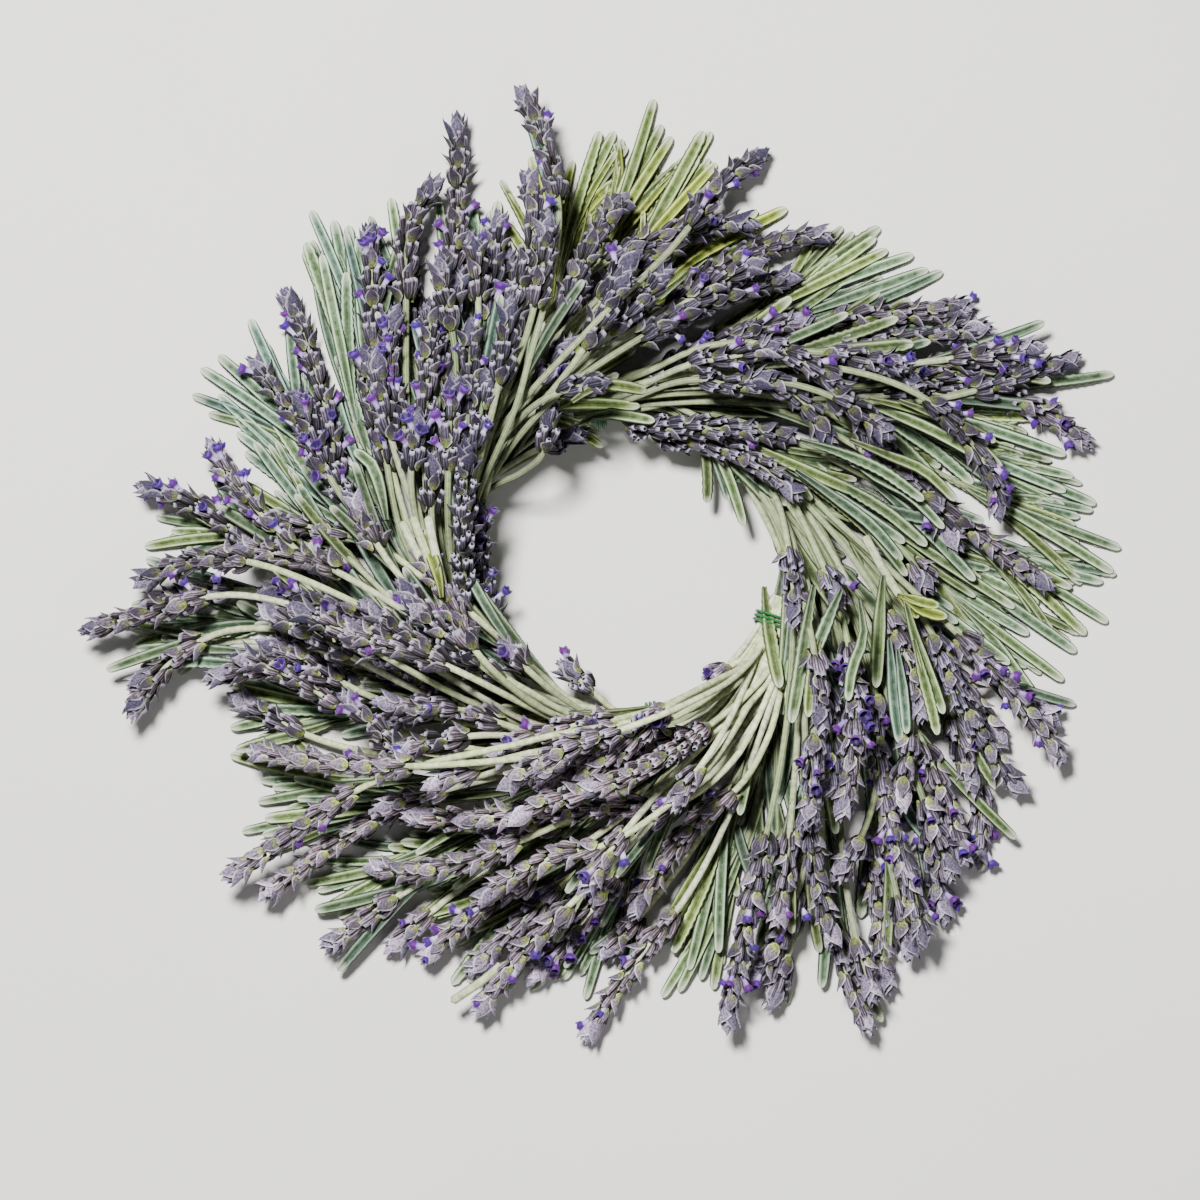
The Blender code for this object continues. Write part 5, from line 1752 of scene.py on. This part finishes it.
def leaf_material():
    tree = Tree("leaf")
    across, along, chance, hue = tree.tint()
    down = tree.noise(2000.0, 4.0, 0.75)
    coarse = tree.noise(420.0, 2.0)
    margin = tree.hues(hue, (200, 234, 216), (218, 238, 186), (226, 234, 126))
    blade = tree.hues(hue, (76, 108, 92), (90, 112, 62), (112, 128, 38))
    # Darker groove along the middle: partly the leaf's own deeper green, partly painted shade in the crease
    groove = tree.hues(hue, (34, 58, 44), (44, 66, 26), (62, 80, 16))
    grooved = tree.mix(tree.level(across, 0.05, 0.45), groove, blade)
    edged = tree.mix(tree.level(across, 0.76, 1.0), grooved, margin)
    downy = tree.mix(tree.level(down, 0.34, 0.60, 0.40, 0.0), edged, groove)
    blotched = tree.mix(tree.level(coarse, 0.42, 0.66, 0.0, 0.16), downy, margin)
    # Brightness of each leaf: tone that differs at random, and painted shade on leaves that lie under others
    tone_and_painted_shade = tree.level(chance, 0.0, 1.0, 0.34, 1.0)
    # Darker towards the foot: painted shade where the leaf lies inside the tuft
    painted_shade_foot = tree.level(along, 0.05, 0.65, 0.50, 1.0)
    shaded = tree.darkened(blotched, tree.times(tone_and_painted_shade, painted_shade_foot))
    pale_tip = tree.level(along, 0.90, 1.0, 0.0, 0.6)
    tipped = tree.mix(pale_tip, shaded, (222, 230, 204))
    return tree.finish(tipped, tree.math("ADD", down, across), 0.00030, 0.8, 0.05, 0.25)


def wire_material(name, colour, scratch):
    tree = Tree(name)
    wear = tree.noise(260.0, 4.0)
    mixed = tree.mix(tree.level(wear, 0.45, 0.75), colour, scratch)
    return tree.finish(mixed, wear, 0.00005, 0.38, 0.0, 0.5)


def floor_material():
    tree = Tree("floor")
    soft = tree.noise(6.0, 2.0)
    return tree.finish(tree.mix(soft, (212, 210, 206), (220, 218, 214)), None, 0.0, 0.9)


# Material and slot of each kind of piece
LOOKS = {
    "stems": (stem_material, None),
    "calyces": (calyx_material, "lavender_flower"),
    "bracts": (bract_material, "lavender_flower"),
    "corollas": (corolla_material, "lavender_flower"),
    "leaves": (leaf_material, "lavender_leaf"),
}
RING_GREEN = ((44, 62, 42), (88, 92, 76))
BINDING_GREEN = ((28, 96, 48), (70, 128, 80))

# How far the highest tips may pass the top of the solids
ABOVE = 0.0018

# The wires are rounder than the solids
RING_STEPS = 120
RING_SIDES = 13
BINDING_STEP = 0.0020
BINDING_SIDES = 8
BINDING_LAP = 2
WIRE_TINT = 0.5


def make_piece(name, heaped, material, ceiling):
    points = np.concatenate(heaped.points)
    points[:, 2] = np.clip(points[:, 2], 0.0, ceiling)
    faces = np.concatenate(heaped.faces)
    tints = np.concatenate(heaped.tints)
    sizes = np.where(faces[:, 3] < 0, 3, 4)
    corners = faces.reshape(-1)
    corners = corners[corners >= 0]
    mesh = bpy.data.meshes.new(name)
    mesh.vertices.add(len(points))
    mesh.vertices.foreach_set("co", points.astype(np.float32).ravel())
    mesh.loops.add(len(corners))
    mesh.loops.foreach_set("vertex_index", corners.astype(np.int32))
    mesh.polygons.add(len(faces))
    mesh.polygons.foreach_set("loop_start", np.concatenate(([0], np.cumsum(sizes)[:-1])).astype(np.int32))
    mesh.polygons.foreach_set("use_smooth", np.ones(len(faces), dtype=bool))
    mesh.update(calc_edges=True)
    colours = mesh.color_attributes.new("tint", "FLOAT_COLOR", "POINT")
    colours.data.foreach_set("color", tints.astype(np.float32).ravel())
    return add_object(name, mesh, material)


def add_object(name, data, material=None):
    made = bpy.data.objects.new(name, data)
    if material:
        data.materials.append(material)
    bpy.context.scene.collection.objects.link(made)
    return made


def wire_ring(shift):
    """The ring's wire, round and smooth."""
    angles = math.tau * np.arange(RING_STEPS + 1) / RING_STEPS
    points = round_row(angles, RING_RADIUS, BINDING_WIRE + GAP + RING_WIRE / 2) + shift
    radii = np.full(len(points), RING_WIRE / 2)
    add_tube(heap("ring_wire", "wire"), points, radii, RING_SIDES, WIRE_TINT, WIRE_TINT, 0.0, False)


def wire_binding(bunch, shift):
    """Turns of round wire with rounded corners."""
    centre, clockwise, outward = tie_frame(bunch)
    half = BUNDLE_WIDTH / 2 + GAP + BINDING_WIRE / 2
    low = BINDING_WIRE / 2
    high = binding_top() - BINDING_WIRE / 2
    cut = BUNDLE_ROUNDING
    outline = (
        (-half + cut, low), (half - cut, low), (half, low + cut), (half, high - cut),
        (half - cut, high), (-half + cut, high), (-half, high - cut), (-half, low + cut),
    )
    knots = []
    for step in range(BINDING_TURNS * len(outline) + BINDING_LAP):
        across, height = outline[step % len(outline)]
        along = (step / len(outline) - BINDING_TURNS / 2) * BINDING_PITCH
        plan = centre + outward * across + clockwise * along
        knots.append(np.array((plan[0], plan[1], height)))
    fine = []
    for one, two in zip(knots, knots[1:]):
        count = max(2, int(np.linalg.norm(two - one) / BINDING_STEP))
        fine += [one + (two - one) * step / count for step in range(count)]
    fine = np.array(fine + knots[-1:])
    axis = np.array((clockwise[0], clockwise[1], 0.0))
    along = normalised(np.gradient(fine, axis=0))
    side = normalised(np.cross(along, axis))
    wide = np.cross(side, along)
    around = np.arange(BINDING_SIDES) / (BINDING_SIDES - 1)
    angles = math.tau * np.arange(BINDING_SIDES) / (BINDING_SIDES - 1)
    cosine, sine = np.cos(angles)[None, :, None], np.sin(angles)[None, :, None]
    ring = fine[:, None] + (side[:, None] * cosine + wide[:, None] * sine) * BINDING_WIRE / 2
    run = np.linspace(0, 1, len(fine))
    tints = spread_tints(len(fine), BINDING_SIDES, around, run, WIRE_TINT, WIRE_TINT)
    faces = grid_faces(len(fine), BINDING_SIDES, False)
    heap(f"binding_{bunch}", "wire").add(ring.reshape(-1, 3) + shift, faces, tints)


# Floor, light and camera. The camera looks straight down and shows the whole
# picture at the height where most of the wreath is
FLOOR_REACH = 4.0
FLOOR_DROP = 0.0003
SKY_COLOUR = (0.86, 0.92, 1.0, 1.0)
SKY_STRENGTH = 0.085
LIGHTS = (
    ("key", (-0.28, 0.48, 1.54), 0.28, 82.0),
    ("fill", (0.4, -0.9, 1.5), 1.2, 5.0),
)
CAMERA_HEIGHT = 2.4
LOOK_HEIGHT = 0.035
PICTURE = 1200
SENSOR = 36.0


def make_floor():
    mesh = bpy.data.meshes.new("floor")
    corners = [(x * FLOOR_REACH, y * FLOOR_REACH, 0) for x, y in ((-1, -1), (1, -1), (1, 1), (-1, 1))]
    mesh.from_pydata(corners, [], [(0, 1, 2, 3)])
    floor = add_object("floor", mesh, floor_material())
    floor.location = (0.0, 0.0, -FLOOR_DROP)


def make_light():
    world = bpy.data.worlds.new("studio")
    bpy.context.scene.world = world
    world.use_nodes = True
    background = world.node_tree.nodes["Background"]
    background.inputs["Color"].default_value = SKY_COLOUR
    background.inputs["Strength"].default_value = SKY_STRENGTH
    for name, place, size, power in LIGHTS:
        data = bpy.data.lights.new(name, "AREA")
        data.shape = "DISK"
        data.size = size
        data.energy = power
        lamp = add_object(name, data)
        lamp.location = place
        lamp.rotation_euler = (-Vector(place)).to_track_quat("-Z", "Y").to_euler()


def make_camera(shift):
    data = bpy.data.cameras.new("camera")
    data.sensor_width = SENSOR
    data.lens = SENSOR * (CAMERA_HEIGHT - LOOK_HEIGHT) / (PICTURE * PIXEL)
    camera = add_object("camera", data)
    middle = to_metres((PICTURE / 2, PICTURE / 2))
    camera.location = (middle[0] + shift[0], middle[1] + shift[1], CAMERA_HEIGHT)
    bpy.context.scene.camera = camera


def main():
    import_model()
    cad_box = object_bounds()
    low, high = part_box("ring_wire")
    shift = np.array(((low[0] + high[0]) / 2, (low[1] + high[1]) / 2, low[2] - BINDING_WIRE - GAP))
    strands = lay_out()
    settling = Settling(strands)
    settling.run()
    cover = Cover(settling)
    rng = random.Random("lavender dressing")
    dress_lone(cover, shift, rng)
    for strand in strands + fill_heads(strands, rng) + more_heads(cover):
        DRESS[strand.kind](strand, shift, rng)
        if strand.kind == "shoot" or (strand.node.endswith("heads_low") and not strand.fill):
            dress_stem_leaves(strand, shift, rng)
    wire_ring(shift)
    for bunch in ORDER:
        wire_binding(bunch, shift)
    made = {part: make() for part, (make, _) in LOOKS.items()}
    ring_green = wire_material("ring_green", *RING_GREEN)
    binding_green = wire_material("binding_green", *BINDING_GREEN)
    for (node, part), heaped in HEAPS.items():
        if part == "wire":
            material = ring_green if node == "ring_wire" else binding_green
        else:
            material = made[part]
        piece = make_piece(f"{node}_{part}", heaped, material, cad_box[1][2] + ABOVE)
        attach(piece, "root")
        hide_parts(node)
    make_floor()
    make_light()
    make_camera(shift)


main()
